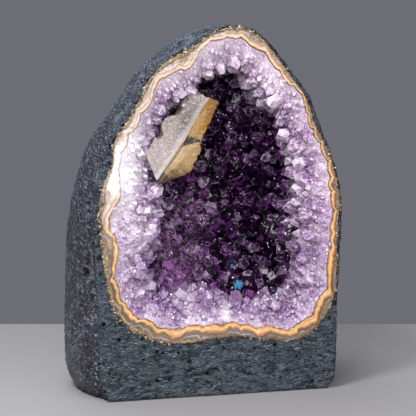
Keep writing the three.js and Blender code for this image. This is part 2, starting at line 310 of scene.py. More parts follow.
def geometryTree(name, sockets):
    tree = bpy.data.node_groups.new(name, "GeometryNodeTree")
    tree.interface.new_socket("Geometry", in_out="INPUT", socket_type="NodeSocketGeometry")
    for label, kind in sockets.items():
        tree.interface.new_socket(label, in_out="INPUT", socket_type=kind)
    tree.interface.new_socket("Geometry", in_out="OUTPUT", socket_type="NodeSocketGeometry")
    entry = tree.nodes.new("NodeGroupInput")
    leave = tree.nodes.new("NodeGroupOutput")
    return tree, entry, leave


def setInput(modifier, label, value):
    for item in modifier.node_group.interface.items_tree:
        if item.in_out == "INPUT" and item.name == label:
            modifier[item.identifier] = value


def named(tree, label, kind="FLOAT"):
    return put(tree, "GeometryNodeInputNamedAttribute", {"Name": label}, data_type=kind).outputs["Attribute"]


def stored(tree, geometry, label, value, kind="FLOAT", domain="POINT"):
    return put(tree, "GeometryNodeStoreNamedAttribute", {
        "Geometry": geometry, "Name": label, "Value": value,
    }, data_type=kind, domain=domain).outputs["Geometry"]


def between(tree, low, high, seed, kind="FLOAT"):
    output = {"FLOAT": 1, "INT": 2, "FLOAT_VECTOR": 0}[kind]
    return put(tree, "FunctionNodeRandomValue", {
        "Min": low, "Max": high, "Seed": seed}, data_type=kind).outputs[output]


def shelfOf(tree, collection):
    return put(tree, "GeometryNodeCollectionInfo", {
        "Collection": collection, "Separate Children": True, "Reset Children": True}).outputs["Instances"]


def shelfWith(name, shapes):
    # a collection outside the scene that holds the shapes to be scattered
    shelf = bpy.data.collections.new(name)
    for shape in shapes:
        shelf.objects.link(shape)
    return shelf


def clearShelf(shelf):
    discard(*list(shelf.objects))
    bpy.data.collections.remove(shelf)


def evaluated(piece):
    graph = bpy.context.evaluated_depsgraph_get()
    graph.update()
    return bpy.data.meshes.new_from_object(piece.evaluated_get(graph))


def discard(*pieces):
    for piece in pieces:
        bpy.data.objects.remove(piece)


# Shape helpers

def asObject(work, name):
    # an object of what has been modelled, not yet in the scene
    mesh = bpy.data.meshes.new(name)
    work.to_mesh(mesh)
    work.free()
    return bpy.data.objects.new(name, mesh)


def shown(piece):
    bpy.context.scene.collection.objects.link(piece)
    return piece


def meshSurface(mesh):
    corners = [vertex.co.copy() for vertex in mesh.vertices]
    return BVHTree.FromPolygons(corners, [tuple(face.vertices) for face in mesh.polygons])


def nodeSurface(name):
    return meshSurface(frame["nodes"][name].data)


def turns(count):
    return np.arange(count) * (2 * np.pi / count)


def facePoints(angles, reach, depth):
    # points by their angle round the middle line, their reach from it and their depth behind the cut
    angles, reach, depth = np.broadcast_arrays(angles, reach, depth)
    x = middleX + reach * np.cos(angles)
    z = middleZ + reach * np.sin(angles)
    return np.stack([x, faceY + depth, z], -1)


def reachOf(points):
    return np.hypot(points[..., 0] - middleX, points[..., 2] - middleZ)


def bellWeights(spread):
    # the steps to either side that are averaged, each with its weight
    width = int(3 * spread) + 1
    steps = np.arange(-width, width + 1)
    weights = np.exp(-0.5 * (steps / spread) ** 2)
    return list(zip(weights / weights.sum(), steps))


def softenRound(values, spread, axis=0):
    # Gaussian smoothing along an axis that closes on itself
    return sum(w * np.roll(values, s, axis=axis) for w, s in bellWeights(spread))


def softenAlong(values, spread, axis=1):
    # Gaussian smoothing along an axis with two ends, which stay where they are
    count = values.shape[axis]
    first = np.take(values, [0], axis)
    last = np.take(values, [count - 1], axis)
    index = np.arange(count)
    result = np.zeros_like(values)
    for w, s in bellWeights(spread):
        at = index + s
        inside = np.take(values, np.clip(at, 0, count - 1), axis)
        mirroredLow = 2 * first - np.take(values, np.clip(-at, 0, count - 1), axis)
        mirroredHigh = 2 * last - np.take(values, np.clip(2 * (count - 1) - at, 0, count - 1), axis)
        shape = [1] * values.ndim
        shape[axis] = count
        low = (at < 0).reshape(shape)
        high = (at > count - 1).reshape(shape)
        result += w * np.where(low, mirroredLow, np.where(high, mirroredHigh, inside))
    return result


def reachTo(surface, angles, depth, fromOutside=False, far=0.5):
    # reach from the middle line to the first face met, looking outwards or from far outside inwards
    start = Vector((middleX, faceY + depth, middleZ))
    found = []
    for angle in angles:
        out = Vector((math.cos(angle), 0, math.sin(angle)))
        if fromOutside:
            found.append(far - surface.ray_cast(start + out * far, -out)[3])
        else:
            found.append(surface.ray_cast(start, out)[3])
    return np.array(found)


def roughness(points, size, octaves=3, seed=0):
    # a field of smooth random bumps, about -1 to 1, with the given size of bump
    offset = Vector((seed * 3.7, seed * 1.3, seed * 5.1))
    flat = points.reshape(-1, 3) / size
    values = [noise.fractal(Vector(p) + offset, 0.8, 2.0, octaves) for p in flat.tolist()]
    return np.array(values).reshape(points.shape[:-1])


def gridNormals(points):
    round_ = np.roll(points, -1, 0) - np.roll(points, 1, 0)
    along = np.gradient(points, axis=1)
    normals = np.cross(round_, along)
    length = np.linalg.norm(normals, axis=-1, keepdims=True)
    return normals / np.maximum(length, 1e-12)


def ringFaces(rows, columns, loop=False):
    # four-sided faces between neighbouring rows, the last row joined to the first
    faces = []
    last = columns if loop else columns - 1
    for i in range(rows):
        k = (i + 1) % rows
        for j in range(last):
            m = (j + 1) % columns
            faces.append((i * columns + j, i * columns + m, k * columns + m, k * columns + j))
    return faces


def poleFaces(rows, columns, column, pole, flip):
    fan = []
    for i in range(rows):
        k = (i + 1) % rows
        edge = (i * columns + column, k * columns + column)
        fan.append((pole, *(edge[::-1] if flip else edge)))
    return fan


def paint(mesh, label, values):
    layer = mesh.attributes.new(label, "FLOAT", "POINT")
    layer.data.foreach_set("value", np.asarray(values, np.float32).ravel())


def makePiece(name, vertices, faces, painting=None):
    mesh = bpy.data.meshes.new(name)
    mesh.from_pydata(np.asarray(vertices).reshape(-1, 3).tolist(), [], faces)
    for label, values in (painting or {}).items():
        paint(mesh, label, values)
    faceOutwards(mesh)
    return shown(bpy.data.objects.new(name, mesh))


def faceOutwards(mesh):
    work = bmesh.new()
    work.from_mesh(mesh)
    if work.calc_volume(signed=True) < 0:
        bmesh.ops.reverse_faces(work, faces=work.faces)
        work.to_mesh(mesh)
    work.free()


def faceTowards(mesh, place):
    facing = sum(face.normal.dot(place - face.center) * face.area for face in mesh.polygons)
    if facing < 0:
        mesh.flip_normals()


def settle(piece, body="root"):
    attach(piece, body)
    return piece


# Outlines on the cut face, read from the model

outlineSizes = {
    "turns": 960,
    "soften": 3.0,          # steps over which the model's corners are rounded
    "lobes": (((4.5, 12.0), 0.21), ((1.6, 3.8), 0.17)),     # degrees covered, height against length
    "seed": 11,
}


def agateLobes(sizes, reach):
    # the agate's inner edge bulges inwards in lobes that meet in sharp notches, small ones on large
    pick = random.Random(sizes["seed"])
    angles = turns(len(reach))
    total = np.zeros(len(reach))
    for spans, height in sizes["lobes"]:
        edges = [0.0]
        while edges[-1] < 360:
            edges.append(edges[-1] + pick.uniform(*spans))
        swell = np.array([pick.uniform(0.35, 1.0) for _ in edges])
        edges = np.radians(np.array(edges) * 360 / edges[-1])
        cell = np.searchsorted(edges, angles, side="right") - 1
        low, high = edges[cell], edges[cell + 1]
        across = 2 * (angles - low) / (high - low) - 1
        total += height * swell[cell] * (high - low) * reach * (1 - across ** 2)
    return total


def readOutlines(sizes):
    angles = turns(sizes["turns"])
    ring = nodeSurface("agate_rim")
    coat = nodeSurface("cement_casing")
    inner = softenRound(reachTo(ring, angles, 1.0 * mm), sizes["soften"])
    outer = softenRound(reachTo(ring, angles, 4 * mm, True), sizes["soften"])
    edge = softenRound(reachTo(coat, angles, 3 * mm, True), sizes["soften"] * 0.6)
    lobes = agateLobes(sizes, inner)
    width = softenRound(outer - inner, 24)
    inner = inner + 0.9 * mm - lobes
    return {"angles": angles, "inner": inner, "outer": outer, "edge": edge, "width": width}


def outlineAt(angles, line):
    return np.interp(angles, outlines["angles"], outlines[line], period=2 * np.pi)


outlines = readOutlines(outlineSizes)
print("outlines read")


# Cement coat

coatSizes = {
    "turns": 660,
    "frontSteps": 66,
    "sideSteps": 58,
    "bowlSteps": 6,
    "edgeRound": 1.6 * mm,
    "heart": 45 * mm,       # depth of the point that the sides are read from
    "soften": (4.5, 2.2),   # steps round, and from front to back
    "recess": 14.6 * mm,
    "bowlDepth": 103.4 * mm,
    "bowlRoundness": 2.3,
    "lumps": 0.55 * mm,
    "grain": 0.3 * mm,
    "knobs": 0.6 * mm,      # coarser knobs on the sides and back
    "strokes": 1.15 * mm,   # strokes of the trowel on the front
    "strokeLength": 10 * mm,
    "strokeWidth": 3.2 * mm,
    "strokeRise": 7.0,      # degrees
    "patch": 0.9 * mm,      # rough patch on the front
    "footFade": 2.5 * mm,
    "pits": 260,
    "pitWidth": (0.8 * mm, 2.1 * mm),
    "pitDepth": 0.7,        # against its width
    "seed": 5,
}
# Places seen in the photograph, as its pixels
coatMarks = {
    "deepPits": [((85, 272), 3.4 * mm, 3.2 * mm), ((87, 262), 2.2 * mm, 1.6 * mm),
                 ((157, 352), 1.6 * mm, 1.6 * mm), ((190, 361), 1.9 * mm, 1.6 * mm),
                 ((184, 352), 1.2 * mm, 1.0 * mm), ((82, 372), 2.2 * mm, 1.8 * mm),
                 ((92, 380), 1.8 * mm, 1.6 * mm), ((76, 362), 1.7 * mm, 1.4 * mm),
                 ((90, 366), 1.5 * mm, 1.2 * mm), ((88, 392), 1.8 * mm, 1.5 * mm),
                 ((97, 384), 1.3 * mm, 1.0 * mm)],
    "roughPatch": ((236, 376), (24 * mm, 8 * mm)),
    "porous": ((83, 374), 17 * mm),
}


def coatTurns(sizes):
    # angles that stand evenly along the coat's outer edge
    x = outlines["edge"] * np.cos(outlines["angles"])
    z = outlines["edge"] * np.sin(outlines["angles"])
    steps = np.hypot(np.roll(x, -1) - x, np.roll(z, -1) - z)
    along = np.concatenate([[0], np.cumsum(steps)])
    even = np.linspace(0, along[-1], sizes["turns"] + 1)[:-1]
    return np.interp(even, along, np.append(outlines["angles"], 2 * np.pi))


def coatSide(surface, angle, sizes, steps):
    # the coat's profile in one half-plane, from the front edge round to the back, evenly stepped
    heart = Vector((middleX, faceY + sizes["heart"], middleZ))
    edge = outlineAt(angle, "edge")
    start = math.atan2(sizes["heart"] - 3 * mm, edge)
    fine = np.linspace(-start, math.pi / 2, steps)
    points = []
    for tilt in fine:
        out = Vector((math.cos(tilt) * math.cos(angle), math.sin(tilt), math.cos(tilt) * math.sin(angle)))
        points.append(surface.ray_cast(heart + out * 0.5, -out)[0])
    points = np.array(points)
    lengths = np.concatenate([[0], np.cumsum(np.linalg.norm(np.diff(points, axis=0), axis=1))])
    even = np.linspace(0, lengths[-1], sizes["sideSteps"] + 1)
    return np.stack([np.interp(even, lengths, points[:, i]) for i in range(3)], -1)


def coatSides(sizes):
    surface = nodeSurface("cement_casing")
    angles = coatTurns(sizes)
    sides = np.stack([coatSide(surface, angle, sizes, 130) for angle in angles])
    onGround = sides[..., 2] < 0.2 * mm
    smooth = softenAlong(softenRound(sides, sizes["soften"][0]), sizes["soften"][1])
    smooth[onGround, 2] = 0
    smooth[..., 2] = np.maximum(smooth[..., 2], 0)
    return smooth


def coatFront(sizes, edgePoints):
    # the flat face from the agate's recess to the rounded front edge
    angles = coatTurns(sizes)
    inner = outlineAt(angles, "outer") + jointGap
    outer = reachOf(edgePoints)
    flatEdge = np.maximum(outer - sizes["edgeRound"], inner + 0.2 * mm)
    shares = np.linspace(0, 1, sizes["frontSteps"]) ** 0.9
    reach = inner[:, None] + (flatEdge - inner)[:, None] * shares
    flat = facePoints(angles[:, None], reach, 0.0)
    room = outer - flatEdge
    bends = [(0.42, 0.1), (0.78, 0.38), (0.94, 0.72)]
    turn = [facePoints(angles, flatEdge + room * out, sizes["edgeRound"] * back) for out, back in bends]
    return np.concatenate([flat, np.stack(turn, 1)], 1)


def coatBowl(sizes):
    angles = coatTurns(sizes)
    mouth = outlineAt(angles, "outer") + jointGap
    shares = np.linspace(0.97, 0, sizes["bowlSteps"])
    depths = sizes["recess"] + (sizes["bowlDepth"] - sizes["recess"]) * shares
    round_ = (1 - shares ** sizes["bowlRoundness"]) ** (1 / sizes["bowlRoundness"])
    bowl = facePoints(angles[:, None], mouth[:, None] * round_, depths)
    wall = [facePoints(angles, mouth, depth) for depth in (9 * mm, 4 * mm, 1.2 * mm)]
    return np.concatenate([bowl, np.stack(wall, 1)], 1)


def strokesAt(points, sizes):
    # trowel strokes: short wavy ridges that rise a little to the right
    rise = math.radians(sizes["strokeRise"])
    along = points[..., 0] * math.cos(rise) + points[..., 2] * math.sin(rise)
    across = -points[..., 0] * math.sin(rise) + points[..., 2] * math.cos(rise)
    wander = roughness(points, 15 * mm, 3, 3) * 3.2 * mm
    stretched = np.stack([along / sizes["strokeLength"], points[..., 1] * 0,
                          (across + wander) / sizes["strokeWidth"]], -1)
    ridges = 0.55 - 2.2 * np.abs(roughness(stretched * 0.8, 1.0, 2, 12))
    strength = np.clip(0.65 + 0.9 * roughness(points, 22 * mm, 2, 13), 0.15, 1.5)
    return (0.6 * roughness(stretched, 1.0, 3, 9) + 0.55 * ridges) * strength


def coatPits(points, sizes, surface, side):
    # round hollows: those seen in the photograph and small ones scattered over the sides and front
    pick = random.Random(sizes["seed"])
    flat = points.reshape(-1, 3)
    weight = (0.35 + 0.65 * side).ravel()
    outside = np.flatnonzero(weight > 0)
    chosen = pick.choices(outside.tolist(), k=sizes["pits"])
    pits = []
    for i in chosen:
        width = pick.uniform(*sizes["pitWidth"])
        pits.append((flat[i], width, width * sizes["pitDepth"] * pick.uniform(0.4, 1)))
    for pixel, width, depth in coatMarks["deepPits"]:
        pits.append((np.array(seenOn(surface, pixel)[0]), width, depth))
    hollow = np.zeros(len(flat))
    for centre, width, depth in pits:
        distance = np.linalg.norm(flat - centre, axis=1) / width
        hollow = np.maximum(hollow, depth * np.clip(1 - distance ** 2, 0, 1) ** 1.2)
    return hollow.reshape(points.shape[:-1])


def buildCoat(sizes):
    sides = coatSides(sizes)
    front = coatFront(sizes, sides[:, 0])
    bowl = coatBowl(sizes)
    surface = nodeSurface("cement_casing")
    skin = np.concatenate([front, sides[:, :-1]], 1)
    normals = gridNormals(skin)
    normals *= np.sign(-normals[:, 5, 1].mean())
    flatSteps = sizes["frontSteps"]
    steps = np.arange(skin.shape[1])
    onFront = np.clip((flatSteps + 2 - steps) / 4, 0, 1)[None, :] * np.ones((sizes["turns"], 1))
    fromRecess = reachOf(skin) - reachOf(front[:, :1])
    recessFade = np.clip(fromRecess / (1.5 * mm), 0, 1)
    recessFade = np.where(steps[None, :] < flatSteps, recessFade, 1)
    patchPixel, patchSize = coatMarks["roughPatch"]
    patchAt = seenOn(surface, patchPixel)[0]
    patch = np.exp(-((skin[..., 0] - patchAt[0]) / patchSize[0]) ** 2
                   - ((skin[..., 2] - patchAt[2]) / patchSize[1]) ** 2) * onFront
    height = sizes["lumps"] * roughness(skin, 13 * mm, 3, 1) * (1 - 0.6 * onFront)
    height += sizes["grain"] * roughness(skin, 2.6 * mm, 3, 2) * (1 - 0.45 * onFront)
    height += sizes["knobs"] * roughness(skin, 5.5 * mm, 2, 6) * (1 - onFront)
    height += sizes["strokes"] * strokesAt(skin, sizes) * onFront
    height += sizes["patch"] * roughness(skin, 3.4 * mm, 3, 4) * patch
    pits = coatPits(skin, sizes, surface, 1 - onFront)
    height -= pits
    footFade = np.clip(skin[..., 2] / sizes["footFade"], 0, 1)
    skin = skin + normals * (height * footFade * recessFade)[..., None]
    skin[..., 2] = np.maximum(skin[..., 2], 0)
    rows = np.concatenate([bowl, skin], 1)
    columns = rows.shape[1]
    count = sizes["turns"] * columns
    back = sides[:, -1].mean(0)
    bottom = facePoints(0.0, 0.0, sizes["bowlDepth"])
    faces = ringFaces(sizes["turns"], columns)
    faces += poleFaces(sizes["turns"], columns, 0, count, False)
    faces += poleFaces(sizes["turns"], columns, columns - 1, count + 1, True)
    vertices = np.concatenate([rows.reshape(-1, 3), [bottom, back]])
    porousPixel, porousReach = coatMarks["porous"]
    away = np.linalg.norm(skin - np.array(seenOn(surface, porousPixel)[0]), axis=-1) / porousReach
    porous = np.exp(-away ** 2)
    worn = np.clip(1 - np.abs(steps - flatSteps - 1.5) / 3.5, 0, 1)[None, :] * np.clip(
        (-skin[..., 0] - 50 * mm) / (20 * mm), 0, 1) * np.clip((80 * mm - skin[..., 2]) / (35 * mm), 0, 1)
    # raised is the relief's height and pit the pits' depth; the material paints highlight and shade from them
    fields = {"porous": porous, "worn": worn, "front": onFront, "pit": pits / (1.5 * mm),
              "raised": height / (0.5 * mm)}
    painting = {}
    for label, field in fields.items():
        inBowl = 1.0 if label == "front" else 0.0
        whole = np.concatenate([np.full(bowl.shape[:2], inBowl), field], 1)
        painting[label] = np.append(whole.ravel(), [inBowl, 0])
    return makePiece("cement_coat", vertices, faces, painting)


def veilLines(tree, place, scale, width, turn=(0, 0, 0), stretch=(1, 1, 1)):
    # thin bent lines: creases in plaster, healed cracks in quartz
    field = speckle(tree, place, scale, 3, 0.6, 0.6, turn, stretch)
    gap = calc(tree, "ABSOLUTE", minus(tree, field, 0.5))
    return remap(tree, gap, width, 0.0, smooth=True)


def coatMaterial():
    material, tree, shader, place = newMaterial("brushedCement")
    labels = ("front", "pit", "raised", "porous", "worn")
    front, pit, raised, porous, worn = (painted(tree, label) for label in labels)
    broad, coarse, grain = placed(tree, stoneGrain, broad=22.0, coarse=300.0, fine=900.0).values()
    rising = (0, math.radians(9), 0)
    strokes = speckle(tree, place, 150, 3, 0.6, 1.8, rising, (1, 1, 2.7))
    creases = veilLines(tree, place, 170, 0.035, rising, (1, 1, 2.0))
    pebbles = cells(tree, place, 560).outputs["Distance"]
    upper = remap(tree, heightOf(tree, place), 0.10, 0.23, smooth=True)
    dabs = speckle(tree, place, 430, 1.5, 0.5, 0.6, stretch=(1, 0.4, 1))
    sideTone = blend(tree, upper, (0.028, 0.026, 0.050), (0.066, 0.090, 0.142))
    dabTone = blend(tree, upper, (0.165, 0.165, 0.240), (0.11, 0.148, 0.222))
    # painted highlight: the dabs that the bump raises are made lighter, partly the paint's own speckle
    sideTone = blend(tree, remap(tree, dabs, 0.55, 0.70), sideTone, dabTone)
    # painted shade: the lowest dabs, sunk in the bump, are made nearly black
    black = times(tree, remap(tree, dabs, 0.46, 0.36), remap(tree, upper, 0, 1, 1.0, 0.3))
    sideTone = layered(tree, sideTone, [
        (black, (0.003, 0.003, 0.006)),
        # painted highlight on the coarse rises, painted shade at the pebbles' sunk rims and in the coarse
        # dips
        (remap(tree, coarse, 0.5, 0.62, 0, 0.4), dabTone),
        (remap(tree, pebbles, 0.34, 0.6, 0, 0.7), (0.012, 0.011, 0.016)),
        (remap(tree, coarse, 0.48, 0.38, 0, 0.7), (0.010, 0.010, 0.014)),
    ])
    # front: lighter on the ridges and dark in the furrows of the strokes that also make the bump, partly the
    # cement's own tone, partly painted highlight and painted shade
    frontTone = ramp(tree, strokes, [
        (0.35, (0.016, 0.023, 0.027)), (0.45, (0.072, 0.102, 0.120)), (0.56, (0.125, 0.170, 0.198)),
        (0.64, (0.21, 0.27, 0.31)), (0.72, (0.55, 0.61, 0.65))])
    frontTone = layered(tree, frontTone, [
        # painted shade: dark lines in the sunk creases
        (times(tree, creases, 0.7), (0.008, 0.010, 0.013)),
        (times(tree, upper, 0.65), (0.080, 0.105, 0.145)),
    ])
    tone = blend(tree, front, sideTone, frontTone)
    tone = layered(tree, tone, [
        # painted highlight on the raised parts and painted shade where the surface is sunk, by the relief's
        # height
        (remap(tree, raised, 0.1, 1.1, 0, 0.6), (0.165, 0.205, 0.255)),
        (remap(tree, raised, -0.1, -1.0, 0, 0.6), (0.010, 0.012, 0.016)),
        (remap(tree, broad, 0.35, 0.7, 0.0, 0.25), (0.030, 0.036, 0.046)),
        (remap(tree, grain, 0.44, 0.34, 0, 0.6), (0.006, 0.006, 0.008)),
    ])
    specks = placed(tree, glints, scale=430.0, size=0.42, share=times(tree, worn, 0.75))["Mask"]
    tone = layered(tree, tone, [
        (times(tree, specks, 0.85), (0.36, 0.38, 0.47)),
        # painted shade: the pits made nearly black
        (remap(tree, pit, 0.1, 0.7), (0.003, 0.003, 0.004)),
    ])
    # pores: small nearly black spots over a sunk bump, painted shade, most in the porous patch and on the
    # sides
    share = plus(tree, times(tree, porous, 0.4), remap(tree, front, 0, 1, 0.035, 0.004))
    pores = placed(tree, glints, scale=300.0, size=0.36, share=share)["Mask"]
    tone = blend(tree, pores, tone, (0.003, 0.003, 0.004))
    # painted glints: small pale spots, a little smoother than round them, clustered where the broad grain is
    # high
    clustered = remap(tree, broad, 0.45, 0.62, 0.015, 0.07)
    paintedGlints = placed(tree, glints, scale=720.0, size=0.27, share=clustered)["Mask"]
    tone = blend(tree, paintedGlints, tone, (0.50, 0.51, 0.56))
    rough = minus(tree, remap(tree, coarse, 0.35, 0.65, 0.18, 0.40), times(tree, paintedGlints, 0.25))
    relief = plus(tree, times(tree, grain, 0.3), times(tree, coarse, 1.5))
    onSide = minus(tree, times(tree, dabs, 3.6), times(tree, pebbles, 0.35))
    onSide = times(tree, onSide, minus(tree, 1.0, front))
    onFront = minus(tree, times(tree, strokes, 8.0), times(tree, creases, 0.35))
    relief = plus(tree, relief, plus(tree, onSide, times(tree, onFront, front)))
    relief = minus(tree, relief, times(tree, pores, 0.4))
    dress(tree, shader, tone, rough, bump(tree, relief, 2.4 * mm))
    return material


coat = buildCoat(coatSizes)
coat.data.shade_smooth()
coat.data.materials.append(coatMaterial())
settle(coat)
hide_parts("cement_casing")
print("cement coat made")


# Agate ring

ringSizes = {
    "frontSteps": 26,
    "back": 14 * mm,
    "taper": 0.35,
    "crown": 0.55 * mm,     # how far the sawn face stands proud of the coat's
    "edgeDepth": 0.7 * mm,
    "wave": 0.10 * mm,
    "ragged": 0.45 * mm,
    "rindRelief": 0.8 * mm,
}
# Round the ring, anticlockwise from the right: degrees, share of its width that is golden band,
# share up to the rind, how milky the layer between them is, and how orange the band is
ringZones = [
    (0, 0.70, 0.82, 0.0, 0.45), (25, 0.72, 0.84, 0.1, 0.25), (50, 0.70, 0.80, 0.1, 0.2),
    (70, 0.68, 0.78, 0.4, 0.5), (82, 0.70, 0.78, 0.5, 0.9), (92, 0.60, 0.68, 0.9, 0.4),
    (105, 0.58, 0.70, 0.7, 0.15), (125, 0.54, 0.74, 0.7, 0.0), (142, 0.48, 0.80, 1.0, 0.0),
    (151, 0.20, 0.82, 1.1, 0.0), (158, 0.14, 0.82, 1.9, 0.0), (175, 0.10, 0.80, 1.9, 0.0),
    (184, 0.32, 0.76, 1.0, 0.1),
    (196, 0.50, 0.70, 0.3, 0.2), (214, 0.50, 0.68, 0.0, 0.25), (236, 0.52, 0.76, 0.0, 0.35),
    (260, 0.58, 0.86, 0.1, 0.75), (280, 0.72, 0.90, 0.1, 0.8), (300, 0.74, 0.90, 0.0, 0.7),
    (325, 0.72, 0.86, 0.0, 0.5), (345, 0.70, 0.84, 0.0, 0.4), (360, 0.70, 0.82, 0.0, 0.45),
]


def zoneValue(zones, angles, column):
    degrees = [zone[0] for zone in zones]
    values = [zone[column] for zone in zones]
    return np.interp(np.degrees(angles) % 360, degrees, values)


def buildRing(sizes):
    angles = outlines["angles"]
    inner, outer = outlines["inner"], outlines["outer"]
    shares = np.linspace(0, 1, sizes["frontSteps"])
    ragged = roughness(facePoints(angles, outer, 0.0), 3.0 * mm, 3, 21)
    outside = outer + sizes["ragged"] * ragged
    reach = inner[:, None] * (1 - shares) + outside[:, None] * shares
    edge = np.clip(np.minimum(shares / 0.1, (1 - shares) / 0.16), 0, 1)
    plateau = edge * edge * (3 - 2 * edge)
    depth = sizes["edgeDepth"] - (sizes["edgeDepth"] + sizes["crown"]) * plateau
    flat = facePoints(angles[:, None], reach, 0.0)
    rind = np.clip((shares[None, :] - zoneValue(ringZones, angles, 2)[:, None]) / 0.06, 0, 1)
    relief = sizes["wave"] * roughness(flat, 4 * mm, 3, 22)
    relief = relief + rind * sizes["rindRelief"] * (0.3 + roughness(flat, 1.5 * mm, 3, 23))
    depth = depth[None, :] - relief * np.clip(4 * shares, 0, 1)
    front = facePoints(angles[:, None], reach, depth)
    width = outer - inner
    unevenGold = 1 + 0.5 * roughness(facePoints(angles, inner, 0.0), 9 * mm, 3, 27)
    back = [
        facePoints(angles, outer, 0.45 * sizes["back"]), facePoints(angles, outer, sizes["back"]),
        facePoints(angles, inner + width * sizes["taper"], sizes["back"]),
        facePoints(angles, inner + width * sizes["taper"] * 0.4, 0.4 * sizes["back"]),
    ]
    rows = np.concatenate([front, np.stack(back, 1)], 1)
    layer = zoneValue(ringZones, angles, 2)[:, None]
    gold = zoneValue(ringZones, angles, 1) * np.clip(unevenGold, 0.55, 1.5)
    gold = np.minimum(gold, 0.92 * layer[:, 0])[:, None]
    apart = (reach - inner[:, None]) / outlines["width"][:, None] + 0.05 * roughness(flat, 8 * mm, 3, 25)
    apart = np.clip(apart, 0, None)
    toRind = np.maximum(shares[None, :] + 0.04 * roughness(flat, 5 * mm, 3, 26), 0)
    band = np.where(apart < gold, apart / gold, 1 + np.clip((apart - gold) / (layer - gold), 0, 0.96))
    band = np.where(toRind > layer, np.maximum(2 + (toRind - layer) / (1 - layer), band), band)
    hidden = np.zeros((len(angles), len(back)))
    painting = {
        "band": np.concatenate([band, hidden + 2.5], 1),
        "milk": np.repeat(zoneValue(ringZones, angles, 3), rows.shape[1]),
        "orange": np.repeat(zoneValue(ringZones, angles, 4), rows.shape[1]),
    }
    return makePiece("agate_ring", rows.reshape(-1, 3), ringFaces(len(angles), rows.shape[1], True), painting)


